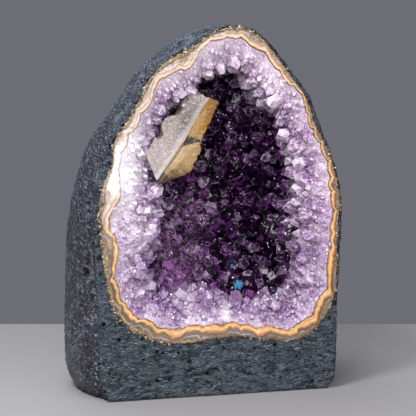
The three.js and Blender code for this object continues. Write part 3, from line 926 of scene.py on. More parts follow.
def agateMaterial():
    material, tree, shader, place = newMaterial("bandedAgate")
    band, milk, orange = (painted(tree, label) for label in ("band", "milk", "orange"))
    waver = speckle(tree, place, 260, 4, 0.65)
    fineBand = plus(tree, band, remap(tree, waver, 0.3, 0.7, -0.10, 0.10))
    gold = ramp(tree, fineBand, [
        (0.0, (0.26, 0.14, 0.05)), (0.07, (0.34, 0.18, 0.05)), (0.18, (0.52, 0.31, 0.10)),
        (0.32, (0.58, 0.38, 0.16)), (0.46, (0.64, 0.47, 0.27)), (0.58, (0.54, 0.34, 0.14)),
        (0.70, (0.44, 0.24, 0.07)), (0.8, (0.27, 0.13, 0.04)), (0.88, (0.10, 0.05, 0.02)),
        (0.96, (0.22, 0.15, 0.09))])
    strong = ramp(tree, fineBand, [
        (0.0, (0.24, 0.12, 0.03)), (0.09, (0.42, 0.20, 0.02)), (0.22, (0.62, 0.33, 0.06)),
        (0.38, (0.74, 0.53, 0.32)), (0.52, (0.57, 0.32, 0.10)), (0.64, (0.50, 0.20, 0.02)),
        (0.78, (0.26, 0.10, 0.015)), (0.88, (0.07, 0.03, 0.012)), (0.97, (0.22, 0.15, 0.11))])
    cream = ramp(tree, fineBand, [
        (0.0, (0.42, 0.28, 0.17)), (0.15, (0.60, 0.45, 0.32)), (0.4, (0.72, 0.62, 0.52)),
        (0.7, (0.66, 0.55, 0.45)), (0.9, (0.46, 0.33, 0.22)), (1.0, (0.60, 0.54, 0.48))])
    gold = layered(tree, gold, [
        (orange, strong),
        (times(tree, milk, 0.85, clamp=True), cream),
    ])
    layerPlace = minus(tree, fineBand, 1.0)
    brown = ramp(tree, layerPlace, [
        (0.0, (0.05, 0.024, 0.010)), (0.14, (0.17, 0.11, 0.060)), (0.30, (0.055, 0.040, 0.028)),
        (0.48, (0.10, 0.080, 0.060)), (0.62, (0.40, 0.36, 0.33)), (0.76, (0.30, 0.27, 0.24)),
        (0.88, (0.035, 0.028, 0.022)), (0.95, (0.22, 0.17, 0.11)), (1.0, (0.012, 0.010, 0.009))])
    white = ramp(tree, layerPlace, [
        (0.0, (0.62, 0.52, 0.44)), (0.15, (0.70, 0.64, 0.60)), (0.45, (0.72, 0.70, 0.70)),
        (0.7, (0.50, 0.50, 0.52)), (0.85, (0.60, 0.52, 0.44)), (1.0, (0.26, 0.20, 0.13))])
    layer = blend(tree, milk, brown, white)
    cloud, chunk, crumb = placed(tree, stoneGrain, broad=80.0, coarse=210.0, fine=900.0).values()
    cloudTone = blend(tree, milk, (0.07, 0.06, 0.055), (0.40, 0.40, 0.42))
    layer = blend(tree, remap(tree, cloud, 0.46, 0.68, 0, 0.4), layer, cloudTone)
    creamy = times(tree, remap(tree, cloud, 0.5, 0.38, 0, 0.6), remap(tree, orange, 0.2, 0.6, 1.0, 0.1))
    layer = blend(tree, creamy, layer, (0.50, 0.38, 0.24))
    rind = ramp(tree, crumb, [
        (0.3, (0.07, 0.05, 0.033)), (0.5, (0.28, 0.21, 0.13)), (0.68, (0.52, 0.44, 0.33))])
    rind = layered(tree, rind, [
        (remap(tree, chunk, 0.52, 0.62), (0.035, 0.033, 0.032)),
        (remap(tree, cloud, 0.52, 0.6, 0, 0.5), (0.62, 0.45, 0.16)),
    ])
    tone = blend(tree, remap(tree, fineBand, 0.97, 1.03), gold, layer)
    isRind = remap(tree, fineBand, 1.96, 2.06)
    tone = blend(tree, isRind, tone, rind)
    mottle = remap(tree, speckle(tree, place, 330, 4, 0.65), 0.35, 0.65, 0.0, 0.45)
    tone = blend(tree, mottle, tone, (0.55, 0.42, 0.30), "MULTIPLY")
    shade = remap(tree, speckle(tree, place, 55, 3), 0.35, 0.65, 0.0, 0.35)
    tone = blend(tree, shade, tone, (0.45, 0.36, 0.30), "MULTIPLY")
    white = times(tree, remap(tree, milk, 1.2, 1.8, 0, 0.85), remap(tree, isRind, 0, 1, 1.0, 0.3))
    white = times(tree, white, remap(tree, chunk, 0.40, 0.50, 0.35, 1.0))
    tone = blend(tree, white, tone, (0.82, 0.79, 0.77))
    grooves = calc(tree, "SINE", times(tree, fineBand, 31.0))
    relief = plus(tree, times(tree, grooves, 0.08), times(tree, crumb, isRind))
    relief = plus(tree, relief, times(tree, chunk, 0.3))
    dress(tree, shader, tone, remap(tree, isRind, 0, 1, 0.28, 0.9), bump(tree, relief, 0.7 * mm, 0.9),
          Subsurface_Weight=0.06, Subsurface_Radius=(1.0, 0.6, 0.35), Subsurface_Scale=0.8 * mm)
    return material


ring = buildRing(ringSizes)
ring.data.shade_smooth()
ring.data.materials.append(agateMaterial())
settle(ring)
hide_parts("agate_rim")
print("agate ring made")


# Crumbs of the rind, along the ring's outer edge

crumbSizes = {
    "inside": 1.5 * mm,     # the strip that they lie on, to either side of the ring's edge
    "outside": 0.9 * mm,
    "smallest": 0.18 * mm,
    "largest": 1.6 * mm,
    "density": 2200000,
    "apart": 0.34 * mm,
    "kinds": 4,
    "seed": 61,
}
# Round the ring: degrees, how thickly the crumbs lie
crumbZones = [
    (0, 0.35), (40, 0.2), (75, 0.3), (95, 0.7), (125, 0.75), (150, 0.9), (172, 0.55), (188, 0.9), (205, 1.0),
    (222, 0.8), (245, 0.75), (262, 0.45), (290, 0.35), (315, 0.5), (335, 0.65), (352, 0.7), (360, 0.35),
]


def crumbShape(name, pick):
    work = bmesh.new()
    bmesh.ops.create_icosphere(work, subdivisions=1, radius=1)
    for vertex in work.verts:
        vertex.co *= pick.uniform(0.45, 1.2)
        vertex.co.z *= 0.6
    return asObject(work, name)


def crumbStrip(sizes):
    angles, outer = outlines["angles"], outlines["outer"]
    reaches = [outer - sizes["inside"], outer, outer + sizes["outside"]]
    depths = [-0.35 * mm, 0.15 * mm, 0.0]
    rows = np.stack([facePoints(angles, reach, depth) for reach, depth in zip(reaches, depths)], 1)
    share = zoneValue(crumbZones, angles, 1)
    patchy = np.clip(1.0 + 2.6 * roughness(facePoints(angles, outer, 0.0), 9 * mm, 3, 62), 0, 1.8) * share
    painting = {"crumbly": np.stack([0.35 * patchy, patchy, 0.3 * patchy], 1)}
    strip = makePiece("rind_crumbs", rows, ringFaces(len(angles), 3), painting)
    faceTowards(strip.data, Vector((middleX, faceY - 0.3, middleZ)))
    return strip


def crumbTree(shelf, material, sizes):
    words = ("Smallest", "Largest", "Apart")
    tree, entry, leave = geometryTree("rindCrumbs", {word: "NodeSocketFloat" for word in words})
    scatter = put(tree, "GeometryNodeDistributePointsOnFaces", {
        "Mesh": entry.outputs["Geometry"], "Distance Min": entry.outputs["Apart"],
        "Density Max": float(sizes["density"]), "Density Factor": named(tree, "crumbly"),
        "Seed": sizes["seed"]}, distribute_method="POISSON")
    share = calc(tree, "POWER", between(tree, 0.0, 1.0, sizes["seed"] + 1), 3.0)
    size = remap(tree, share, 0.0, 1.0, entry.outputs["Smallest"], entry.outputs["Largest"])
    points = stored(tree, scatter.outputs["Points"], "tint", between(tree, 0.0, 1.0, sizes["seed"] + 2))
    turned = put(tree, "FunctionNodeEulerToRotation", {
        "Euler": between(tree, (0, 0, 0), (math.tau,) * 3, sizes["seed"] + 3, "FLOAT_VECTOR")})
    stood = put(tree, "GeometryNodeInstanceOnPoints", {
        "Points": points, "Instance": shelfOf(tree, shelf), "Pick Instance": True,
        "Instance Index": between(tree, 0, sizes["kinds"] - 1, sizes["seed"] + 4, "INT"),
        "Rotation": turned.outputs["Rotation"], "Scale": size})
    whole = put(tree, "GeometryNodeRealizeInstances", {"Geometry": stood.outputs["Instances"]})
    finish = put(tree, "GeometryNodeSetMaterial", {
        "Geometry": whole.outputs["Geometry"], "Material": material})
    tree.links.new(finish.outputs["Geometry"], leave.inputs["Geometry"])
    return tree


def crumbMaterial():
    material, tree, shader, _ = newMaterial("rindCrumbs")
    tint = painted(tree, "tint")
    grain = placed(tree, stoneGrain, fine=1100.0)["Fine"]
    tone = ramp(tree, tint, [
        (0.0, (0.03, 0.028, 0.027)), (0.25, (0.09, 0.066, 0.042)), (0.5, (0.24, 0.17, 0.095)),
        (0.8, (0.40, 0.30, 0.18)), (1.0, (0.56, 0.48, 0.36))])
    tone = blend(tree, remap(tree, grain, 0.45, 0.65, 0, 0.5), tone, (0.16, 0.11, 0.065))
    dress(tree, shader, tone, remap(tree, grain, 0.3, 0.7, 0.65, 0.95), bump(tree, grain, 0.3 * mm, 0.8))
    return material


def buildCrumbs(sizes):
    pick = random.Random(sizes["seed"])
    shelf = shelfWith("crumb", [crumbShape(f"crumb{k}", pick) for k in range(sizes["kinds"])])
    strip = crumbStrip(sizes)
    modifier = strip.modifiers.new("crumbs", "NODES")
    modifier.node_group = crumbTree(shelf, crumbMaterial(), sizes)
    for word, key in (("Smallest", "smallest"), ("Largest", "largest"), ("Apart", "apart")):
        setInput(modifier, word, sizes[key])
    mesh = evaluated(strip)
    strip.modifiers.clear()
    strip.data = mesh
    clearShelf(shelf)
    return strip


crumbs = buildCrumbs(crumbSizes)
settle(crumbs)
print("rind crumbs made:", len(crumbs.data.polygons), "faces")


# Calcite

calciteSizes = {
    "bevel": 0.45 * mm,
    "cuts": 0.8 * mm,           # from one cut of the fine mesh to the next
    "roomCuts": 2.4 * mm,       # the same for the room that it takes up in the quartz
    "roomGap": 0.25 * mm,
    "sugar": 0.17 * mm,
    "steps": 0.35 * mm,         # ledges on the pale face
    "ragged": 1.4 * mm,         # how unevenly its left edge is broken
    "chipped": 1.1 * mm,        # and the honey crystals' right edges
    "ridge": 0.14 * mm,         # how far the ridge stands up
    "ridgeCuts": (-1.6, -0.8, 0.0, 0.8, 1.6),   # millimetres from it, where the mesh is cut for it
    "foldBack": 1.5,            # how steeply the broken left edge falls back
    "ridgeTop": (-8.2, 199),    # the ridge between the pale and the honey faces, [x, z] in millimetres
    "ridgeFoot": (-40.2, 147),
    "leftDrop": 5.0 * mm,       # the pale blade's left edge dips behind the points beside it
    "leftStart": 12,            # millimetres left of the ridge
    "leftEnd": 25,
    "wedgeCorners": ((181, 145), (188, 132), (203, 137), (201, 144)),   # pixels of the photograph
    "wedgeBeside": ((187, 126), (196, 150), (180, 137)),
    "wedgeSet": 1.6 * mm,       # how far the dark wedge lies below the faces beside it
    "wedgeDeep": 9 * mm,
}
# Broken left edge of the pale blade: share of the way down the ridge, millimetres left of it
leftEdge = [(-0.2, 10), (0.12, 12.2), (0.2, 9), (0.27, 9.4), (0.30, 12), (0.38, 17), (0.43, 17.2), (0.54, 12),
            (0.59, 12.6), (0.62, 15.7), (0.8, 16), (0.88, 12.8), (0.93, 6.5), (1.03, 3.6), (1.3, 3)]


def ridgeSide(place, sizes):
    # millimetres to the right of the ridge
    (x1, z1), (x2, z2) = sizes["ridgeTop"], sizes["ridgeFoot"]
    across, down = place[0] / mm - x1, place[2] / mm - z1
    return (down * (x2 - x1) - across * (z2 - z1)) / math.hypot(x2 - x1, z2 - z1)


def ridgeShare(place, sizes):
    # 0 at the top of the ridge, 1 at its foot
    (x1, z1), (x2, z2) = sizes["ridgeTop"], sizes["ridgeFoot"]
    across, down = place[0] / mm - x1, place[2] / mm - z1
    return (across * (x2 - x1) + down * (z2 - z1)) / ((x2 - x1) ** 2 + (z2 - z1) ** 2)


def calciteCore(sizes):
    # the model's calcite with its doubled corners joined and its left edge set back
    work = bmesh.new()
    work.from_mesh(frame["nodes"]["calcite_cluster"].data)
    bmesh.ops.remove_doubles(work, verts=work.verts, dist=1e-5)
    work.normal_update()
    for vertex in work.verts:
        left = (-ridgeSide(vertex.co, sizes) - sizes["leftStart"]) / (sizes["leftEnd"] - sizes["leftStart"])
        vertex.co.y += sizes["leftDrop"] * min(max(left, 0), 1) ** 0.8
    return work


def sliceAt(work, place, normal, apart=0.0):
    geometry = work.verts[:] + work.edges[:] + work.faces[:]
    bmesh.ops.bisect_plane(work, geom=geometry, dist=apart, plane_co=place, plane_no=normal)


def splitFine(work, step):
    # evenly spaced cuts across all three axes, so that the surface can take relief
    for axis in range(3):
        ends = [vertex.co[axis] for vertex in work.verts]
        normal = Vector([float(k == axis) for k in range(3)])
        for k in range(int((max(ends) - min(ends)) / step)):
            sliceAt(work, normal * (min(ends) + (k + 0.5) * step), normal, 0.01 * step)
    bmesh.ops.triangulate(work, faces=work.faces)
    work.normal_update()


def breakEdges(work, sizes):
    # squeezes what lies left of the broken edge back to it and behind, and chips the right edges
    across = ridgePlane(sizes)[1]
    shares, limits = zip(*leftEdge)
    for vertex in work.verts:
        place = vertex.co.copy()
        side = ridgeSide(place, sizes)
        broken = noise.fractal(place / (4 * mm), 0.7, 2.0, 3)
        limit = np.interp(ridgeShare(place, sizes), shares, limits) * mm + sizes["ragged"] * broken
        over = max(-side * mm - limit, 0)
        vertex.co += across * over * 0.92
        vertex.co.y += over * sizes["foldBack"]
        vertex.co -= across * sizes["chipped"] * min(max((side - 6) / 5, 0), 1) * abs(broken) * 2


def calciteRoom():
    # what the calcite takes out of the quartz: its broken shape, a little larger
    work = calciteCore(calciteSizes)
    splitFine(work, calciteSizes["roomCuts"])
    breakEdges(work, calciteSizes)
    work.normal_update()
    moves = [(vertex, vertex.normal * calciteSizes["roomGap"]) for vertex in work.verts]
    for vertex, move in moves:
        vertex.co += move
    return asObject(work, "calciteRoom")


def addDarkWedge(work, sizes):
    # a dark wedge in the notch between the two honey crystals, sunk behind the faces beside it
    surface = nodeSurface("calcite_cluster")
    beside = [surface.ray_cast(*sightLine(pixel))[0] for pixel in sizes["wedgeBeside"]]
    normal = (beside[1] - beside[0]).cross(beside[2] - beside[0]).normalized()
    front, rear = [], []
    for pixel in sizes["wedgeCorners"]:
        start, direction = sightLine(pixel)
        depth = (beside[0] - start).dot(normal) / direction.dot(normal)
        front.append(work.verts.new(start + direction * (depth + sizes["wedgeSet"])))
        rear.append(work.verts.new(start + direction * (depth + sizes["wedgeDeep"])))
    faces = [work.faces.new(front), work.faces.new(rear[::-1])]
    for k in range(len(front)):
        m = (k + 1) % len(front)
        faces.append(work.faces.new((front[m], front[k], rear[k], rear[m])))
    bmesh.ops.recalc_face_normals(work, faces=faces)
    return faces


def ridgePlane(sizes):
    (x1, z1), (x2, z2) = sizes["ridgeTop"], sizes["ridgeFoot"]
    start = Vector((x1, 0, z1)) * mm
    along = (Vector((x2, 0, z2)) * mm - start).normalized()
    return start, Vector((-along.z, 0, along.x))


def buildCalcite(sizes):
    work = calciteCore(sizes)
    bmesh.ops.dissolve_limit(work, angle_limit=math.radians(2), verts=work.verts, edges=work.edges)
    bmesh.ops.bevel(work, geom=work.edges[:], offset=sizes["bevel"], segments=2, affect="EDGES", profile=0.6)
    start, normal = ridgePlane(sizes)
    for shift in sizes["ridgeCuts"]:
        sliceAt(work, start + normal * shift * mm, normal)
    splitFine(work, sizes["cuts"])
    for vertex in work.verts:
        place = vertex.co.copy()
        side = ridgeSide(place, sizes)
        pale = min(max(-side / 2, 0), 1)
        fine = noise.fractal(place / (1.5 * mm), 0.7, 2.0, 3)
        step = math.floor(noise.noise(place / (8 * mm)) * 6) / 6
        ridge = math.exp(-(side / 1.1) ** 2)
        rise = sizes["sugar"] * fine * (0.12 + 0.88 * pale) + sizes["steps"] * step * pale
        rise += sizes["ridge"] * ridge
        vertex.co = place + vertex.normal * rise
    breakEdges(work, sizes)
    # the dark wedge in the notch gets the third material
    wedgeFaces = set(addDarkWedge(work, sizes))
    for face in work.faces:
        side = ridgeSide(face.calc_center_median(), sizes)
        face.material_index = 2 if face in wedgeFaces else 1 if side > 0.8 else 0
    piece = shown(asObject(work, "calcite"))
    mesh = piece.data
    paint(mesh, "ridge", [ridgeSide(vertex.co, sizes) for vertex in mesh.vertices])
    mesh.shade_flat()
    return piece


calciteIndex = 1.6


def paleCalcite():
    material, tree, shader, place = newMaterial("paleCalcite")
    ridge = painted(tree, "ridge")
    cloud, sugar, grain = placed(tree, stoneGrain, broad=60.0, coarse=480.0, fine=1300.0).values()
    low = remap(tree, heightOf(tree, place), 0.186, 0.166, smooth=True)
    tone = blend(tree, low, (0.105, 0.082, 0.070), (0.27, 0.245, 0.23))
    tone = layered(tree, tone, [
        (remap(tree, cloud, 0.35, 0.65, 0, 0.6), (0.28, 0.23, 0.185)),
        (remap(tree, sugar, 0.50, 0.68, 0, 0.5), (0.62, 0.58, 0.55)),
        (remap(tree, sugar, 0.44, 0.34, 0, 0.5), (0.19, 0.15, 0.13)),
        (remap(tree, grain, 0.57, 0.7, 0, 0.4), (0.78, 0.75, 0.73)),
    ])
    # painted highlight: the pale face is made lighter along the ridge, where the light falls on it
    uneven = plus(tree, ridge, remap(tree, speckle(tree, place, 170, 3), 0.3, 0.7, -2.4, 2.4))
    tone = blend(tree, remap(tree, uneven, -2.6, -0.8, 0, 0.55), tone, (0.47, 0.44, 0.45))
    strip = times(tree, remap(tree, uneven, -6.8, -4.6), minus(tree, 1.0, low))
    tone = blend(tree, times(tree, strip, 0.7), tone, (0.62, 0.60, 0.60), "MULTIPLY")
    dress(tree, shader, tone, remap(tree, sugar, 0.3, 0.7, 0.22, 0.55), bump(tree, sugar, 0.5 * mm, 0.8),
          Transmission_Weight=0.2, IOR=calciteIndex)
    return material


def honeyCalcite():
    material, tree, shader, place = newMaterial("honeyCalcite")
    cloud = speckle(tree, place, 90, 3)
    streak = speckle(tree, place, 150, 3, 0.6, 0.5, (0, math.radians(-58), 0), (1, 1, 5))
    height = heightOf(tree, place)
    side = painted(tree, "ridge")
    tone = ramp(tree, cloud, [
        (0.32, (0.46, 0.25, 0.05)), (0.45, (0.60, 0.37, 0.10)), (0.55, (0.66, 0.45, 0.17)),
        (0.66, (0.76, 0.58, 0.30))])
    lower = remap(tree, height, 0.178, 0.168, 0.0, 0.75)
    edge = plus(tree, side, remap(tree, streak, 0.3, 0.7, -2.5, 2.5))
    tone = blend(tree, remap(tree, edge, 4.0, 8.5, 0, 0.9), tone, (0.50, 0.23, 0.010))
    top = remap(tree, plus(tree, height, remap(tree, cloud, 0.3, 0.7, -0.005, 0.005)), 0.189, 0.197, 0, 0.8)
    tone = layered(tree, tone, [
        (top, (0.36, 0.17, 0.01)),
        (lower, (0.66, 0.48, 0.22)),
        (remap(tree, streak, 0.48, 0.66, 0, 0.4), (0.82, 0.66, 0.40)),
    ])
    mottle = speckle(tree, place, 230, 4, 0.65)
    murk = times(tree, remap(tree, mottle, 0.46, 0.34, 0, 0.7), minus(tree, 1.0, lower))
    tone = blend(tree, murk, tone, (0.26, 0.14, 0.04))
    tip = plus(tree, height, remap(tree, mottle, 0.3, 0.7, -0.004, 0.004))
    tone = blend(tree, remap(tree, tip, 0.158, 0.149), tone, (0.10, 0.055, 0.02))
    dress(tree, shader, tone, remap(tree, streak, 0.3, 0.7, 0.1, 0.3), bump(tree, streak, 0.3 * mm, 0.6),
          Transmission_Weight=0.45, IOR=calciteIndex)
    tintInside(tree, (0.95, 0.66, 0.2), 60.0)
    return material


def darkWedgeCalcite():
    material, tree, shader, _ = newMaterial("darkWedgeCalcite")
    cloud, coarse, grain = placed(tree, stoneGrain, broad=130.0, coarse=330.0, fine=1300.0).values()
    tone = ramp(tree, cloud, [
        (0.4, (0.020, 0.014, 0.006)), (0.52, (0.085, 0.060, 0.030)), (0.64, (0.24, 0.19, 0.12))])
    tone = blend(tree, remap(tree, coarse, 0.54, 0.64, 0, 0.6), tone, (0.46, 0.41, 0.34))
    dress(tree, shader, tone, remap(tree, grain, 0.3, 0.7, 0.1, 0.35), bump(tree, coarse, 1.2 * mm),
          Transmission_Weight=0.25, IOR=calciteIndex)
    return material


calcite = buildCalcite(calciteSizes)
for material in (paleCalcite(), honeyCalcite(), darkWedgeCalcite()):
    calcite.data.materials.append(material)
settle(calcite)
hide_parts("calcite_cluster")
print("calcite made")


# Quartz crust

wallSizes = {
    "turns": 420,
    "rimSteps": 34,
    "hollowSteps": 40,
    "lumps": 2.6 * mm,
    "rimLumps": 0.9 * mm,
    "columns": 0.32 * mm,   # relief of the columns on the sawn rim, and how far they are stretched
    "columnWidth": 3.4 * mm,
    "columnStretch": 0.3,
    "front": -0.6 * mm,     # nothing of the crust stands further forward
    "depth": 103 * mm,
}
# Edge where the pale rim turns down into the dark hollow, [x, z] in millimetres from the middle line
hollowEdge = [
    (7, 86), (16, 70), (34, 51), (47, 23), (48, -8), (49, -43), (53, -63), (34, -75), (6, -72),
    (-18, -64), (-48, -64), (-53, -48), (-44, -28), (-40, -8), (-47, 14), (-48, 38), (-28, 63), (-8, 78),
]
rimSlope = [(0, 0.8), (0.4, 5), (0.85, 13)]     # share of the way to the hollow, depth in millimetres
hollowProfile = [(1.12, 26), (1.14, 46), (0.98, 66), (0.6, 82), (0, 87)]    # share of the edge's reach, depth


def smoothOutline(corners, angles):
    # reach at each angle of a smooth closed curve through the corners
    closed = np.array([*corners, corners[0]], float) * mm
    bearings = np.unwrap(np.arctan2(closed[:, 1], closed[:, 0]))
    reach = np.hypot(closed[:, 0], closed[:, 1])
    order = np.argsort(bearings)
    line = np.interp(np.unwrap(angles) - 2 * np.pi, bearings[order], reach[order], period=2 * np.pi)
    return softenRound(line, len(angles) / 90)


def wallRows(sizes):
    angles = turns(sizes["turns"])
    inner = outlineAt(angles, "inner") - 0.15 * mm
    edge = smoothOutline(hollowEdge, angles)
    stations = []
    for share, depth in rimSlope:
        stations.append((inner + (edge - inner) * share, depth * mm))
    for share, depth in hollowProfile:
        stations.append((edge * share, depth * mm))
    places = [0, 0.4, 0.85, 1.1, 1.3, 1.55, 1.8, 2.0]
    rim = np.linspace(0, 1, sizes["rimSteps"])
    hollow = np.linspace(1, 2, sizes["hollowSteps"])[1:]
    zone = np.concatenate([rim, hollow])
    reach = np.stack([[np.interp(z, places, [s[0][k] for s in stations]) for z in zone]
                      for k in range(len(angles))])
    depth = np.interp(zone, places, [s[1] for s in stations])
    reach = softenAlong(reach, 1.6)
    depth = softenAlong(depth[None, :], 1.6)[0]
    rows = facePoints(angles[:, None], reach, depth)
    zones = np.repeat(zone[None, :], len(angles), 0)
    size = sizes["rimLumps"] + (sizes["lumps"] - sizes["rimLumps"]) * np.clip((zones - 0.7) / 0.5, 0, 1)
    fade = np.clip(zones / 0.15, 0, 1) * np.clip((2 - zones) / 0.2, 0, 1)
    normals = gridNormals(rows)
    spokes = np.stack([0.07 * np.cos(angles), 0 * angles, 0.07 * np.sin(angles)], -1)[:, None, :] + reach[
        ..., None] * np.array([0, sizes["columnStretch"], 0])
    columns = roughness(spokes, sizes["columnWidth"], 4, 33) * np.clip((1.1 - zones) / 0.3, 0, 1)
    height = roughness(rows, 17 * mm, 3, 31) * size * fade
    height += sizes["columns"] * columns * np.clip(zones / 0.05, 0, 1)
    rows = rows + normals * height[..., None]
    return angles, rows, zones


def buildWall(sizes):
    angles, rows, zones = wallRows(sizes)
    columns = rows.shape[1]
    back = rows[:, -1].mean(0)
    rows, zones = rows[:, :-1], zones[:, :-1]
    columns -= 1
    count = rows.shape[0] * columns
    vertices = np.concatenate([rows.reshape(-1, 3), [back]])
    faces = ringFaces(rows.shape[0], columns) + poleFaces(rows.shape[0], columns, columns - 1, count, True)
    wall = makePiece("crustWall", vertices, faces, {"zone": np.append(zones.ravel(), 2.0)})
    faceTowards(wall.data, Vector((middleX, faceY, middleZ)))
    return wall, angles, rows, back


def buildBody(sizes, angles, rows, back):
    # the wall closed behind: round the back of the ring and down the coat's bowl
    crust = nodeSurface("amethyst_crust")
    depths = [17 * mm, 32 * mm, 50 * mm, 68 * mm, 84 * mm, 95 * mm]
    inner = outlineAt(angles, "inner") - 0.15 * mm
    lip = facePoints(angles, inner, 2.5 * mm)
    outside = [lip]
    outside += [facePoints(angles, reachTo(crust, angles, depth, True), depth) for depth in depths]
    outside = np.stack(outside[::-1], 1)
    everything = np.concatenate([outside, rows], 1)
    columns = everything.shape[1]
    count = len(angles) * columns
    pole = facePoints(0.0, 0.0, sizes["depth"])
    faces = ringFaces(len(angles), columns)
    faces += poleFaces(len(angles), columns, 0, count, False)
    faces += poleFaces(len(angles), columns, columns - 1, count + 1, True)
    body = makePiece("crustBody", np.concatenate([everything.reshape(-1, 3), [pole, back]]), faces)
    body.data.materials.append(marker("bareWall"))
    return body


# Quartz points: six-sided, three of the end faces broad and three narrow
quartzPoint = {
    "kinds": 7,
    "endSlope": 51.8,       # degrees from the flat to the end faces' normals
    "root": -1.6,
    "shoulder": (0.1, 1.3),
    "sideChange": 0.2,
    "narrowFace": (0.12, 0.42),
    "broadFace": (-0.1, 0.06),
    "wornEdge": {"plainPoint": 0.0, "wornPoint": 0.08, "bigPoint": 0.13},
    "seed": 71,
}


def cutBy(work, normal, distance):
    geometry = work.verts[:] + work.edges[:] + work.faces[:]
    cut = bmesh.ops.bisect_plane(work, geom=geometry, plane_co=normal * distance, plane_no=normal,
                                 clear_outer=True)
    rim = [part for part in cut["geom_cut"] if isinstance(part, bmesh.types.BMEdge)]
    if rim:
        bmesh.ops.edgeloop_fill(work, edges=rim)


def marker(name):
    # a stand-in material that tells the kinds of face apart until the crust is whole
    return bpy.data.materials.get(name) or bpy.data.materials.new(name)


def quartzShape(name, sizes, pick, worn):
    work = bmesh.new()
    bmesh.ops.create_cube(work, size=8)
    bottom = Vector((0, 0, -1))
    cutBy(work, bottom, -sizes["root"])
    slope = math.radians(sizes["endSlope"])
    shoulder = pick.uniform(*sizes["shoulder"])
    for k in range(6):
        angle = math.radians(60 * k)
        side = Vector((math.cos(angle), math.sin(angle), 0))
        distance = 1 + pick.uniform(-1, 1) * sizes["sideChange"]
        cutBy(work, side, distance)
        end = Vector((math.sin(slope) * side.x, math.sin(slope) * side.y, math.cos(slope)))
        extra = pick.uniform(*(sizes["narrowFace"] if k % 2 else sizes["broadFace"]))
        cutBy(work, end, math.sin(slope) + math.cos(slope) * shoulder + extra)
    for face in work.faces:
        face.material_index = 0
    if worn:
        bmesh.ops.remove_doubles(work, verts=work.verts, dist=0.02)
        edges = [edge for edge in work.edges if max(v.co.z for v in edge.verts) > 0]
        bmesh.ops.bevel(work, geom=edges, offset=worn, segments=1, affect="EDGES", clamp_overlap=True,
                        material=1)
    point = asObject(work, name)
    for label in ("pointFace", "pointEdge"):
        point.data.materials.append(marker(label))
    return point


def quartzShapes(name, sizes, worn):
    pick = random.Random(sizes["seed"])
    return shelfWith(name, [quartzShape(f"{name}{k}", sizes, pick, worn) for k in range(sizes["kinds"])])


# Sizes of quartz point. zones: density grows from the first place to the second and falls from the
# third to the fourth. inward: how far those of the rim lean to the middle. pale: how hazy a point is
pointKinds = {
    "broad": {"spacing": 8.2 * mm, "small": 4.0 * mm, "large": 6.3 * mm, "lean": 0.42, "inward": 0.9,
              "zones": (0.95, 1.15, 3.0, 4.0), "density": 30000, "stretch": (0.9, 1.25), "pale": (0.15, 0.8),
              "shape": "bigPoint", "seed": 3},
    "lump": {"spacing": 6.4 * mm, "small": 2.8 * mm, "large": 4.8 * mm, "lean": 0.4, "inward": 0.9,
             "zones": (0.35, 0.85, 0.98, 1.15), "density": 60000, "stretch": (0.75, 1.05), "pale": (0.3, 1.0),
             "shape": "bigPoint", "seed": 23},
    "middling": {"spacing": 5.2 * mm, "small": 1.8 * mm, "large": 3.5 * mm, "lean": 0.5, "inward": 0.9,
                 "zones": (0.8, 1.1, 3.0, 4.0), "density": 90000, "stretch": (0.9, 1.35), "pale": (0.0, 0.55),
                 "shape": "wornPoint", "seed": 8},
    "fine": {"spacing": 2.9 * mm, "small": 1.0 * mm, "large": 2.2 * mm, "lean": 0.35, "inward": 1.1,
             "zones": (-0.1, 0.5, 0.8, 1.1), "density": 120000, "stretch": (0.5, 1.1), "pale": (0.3, 0.7),
             "shape": "plainPoint", "seed": 14},
}
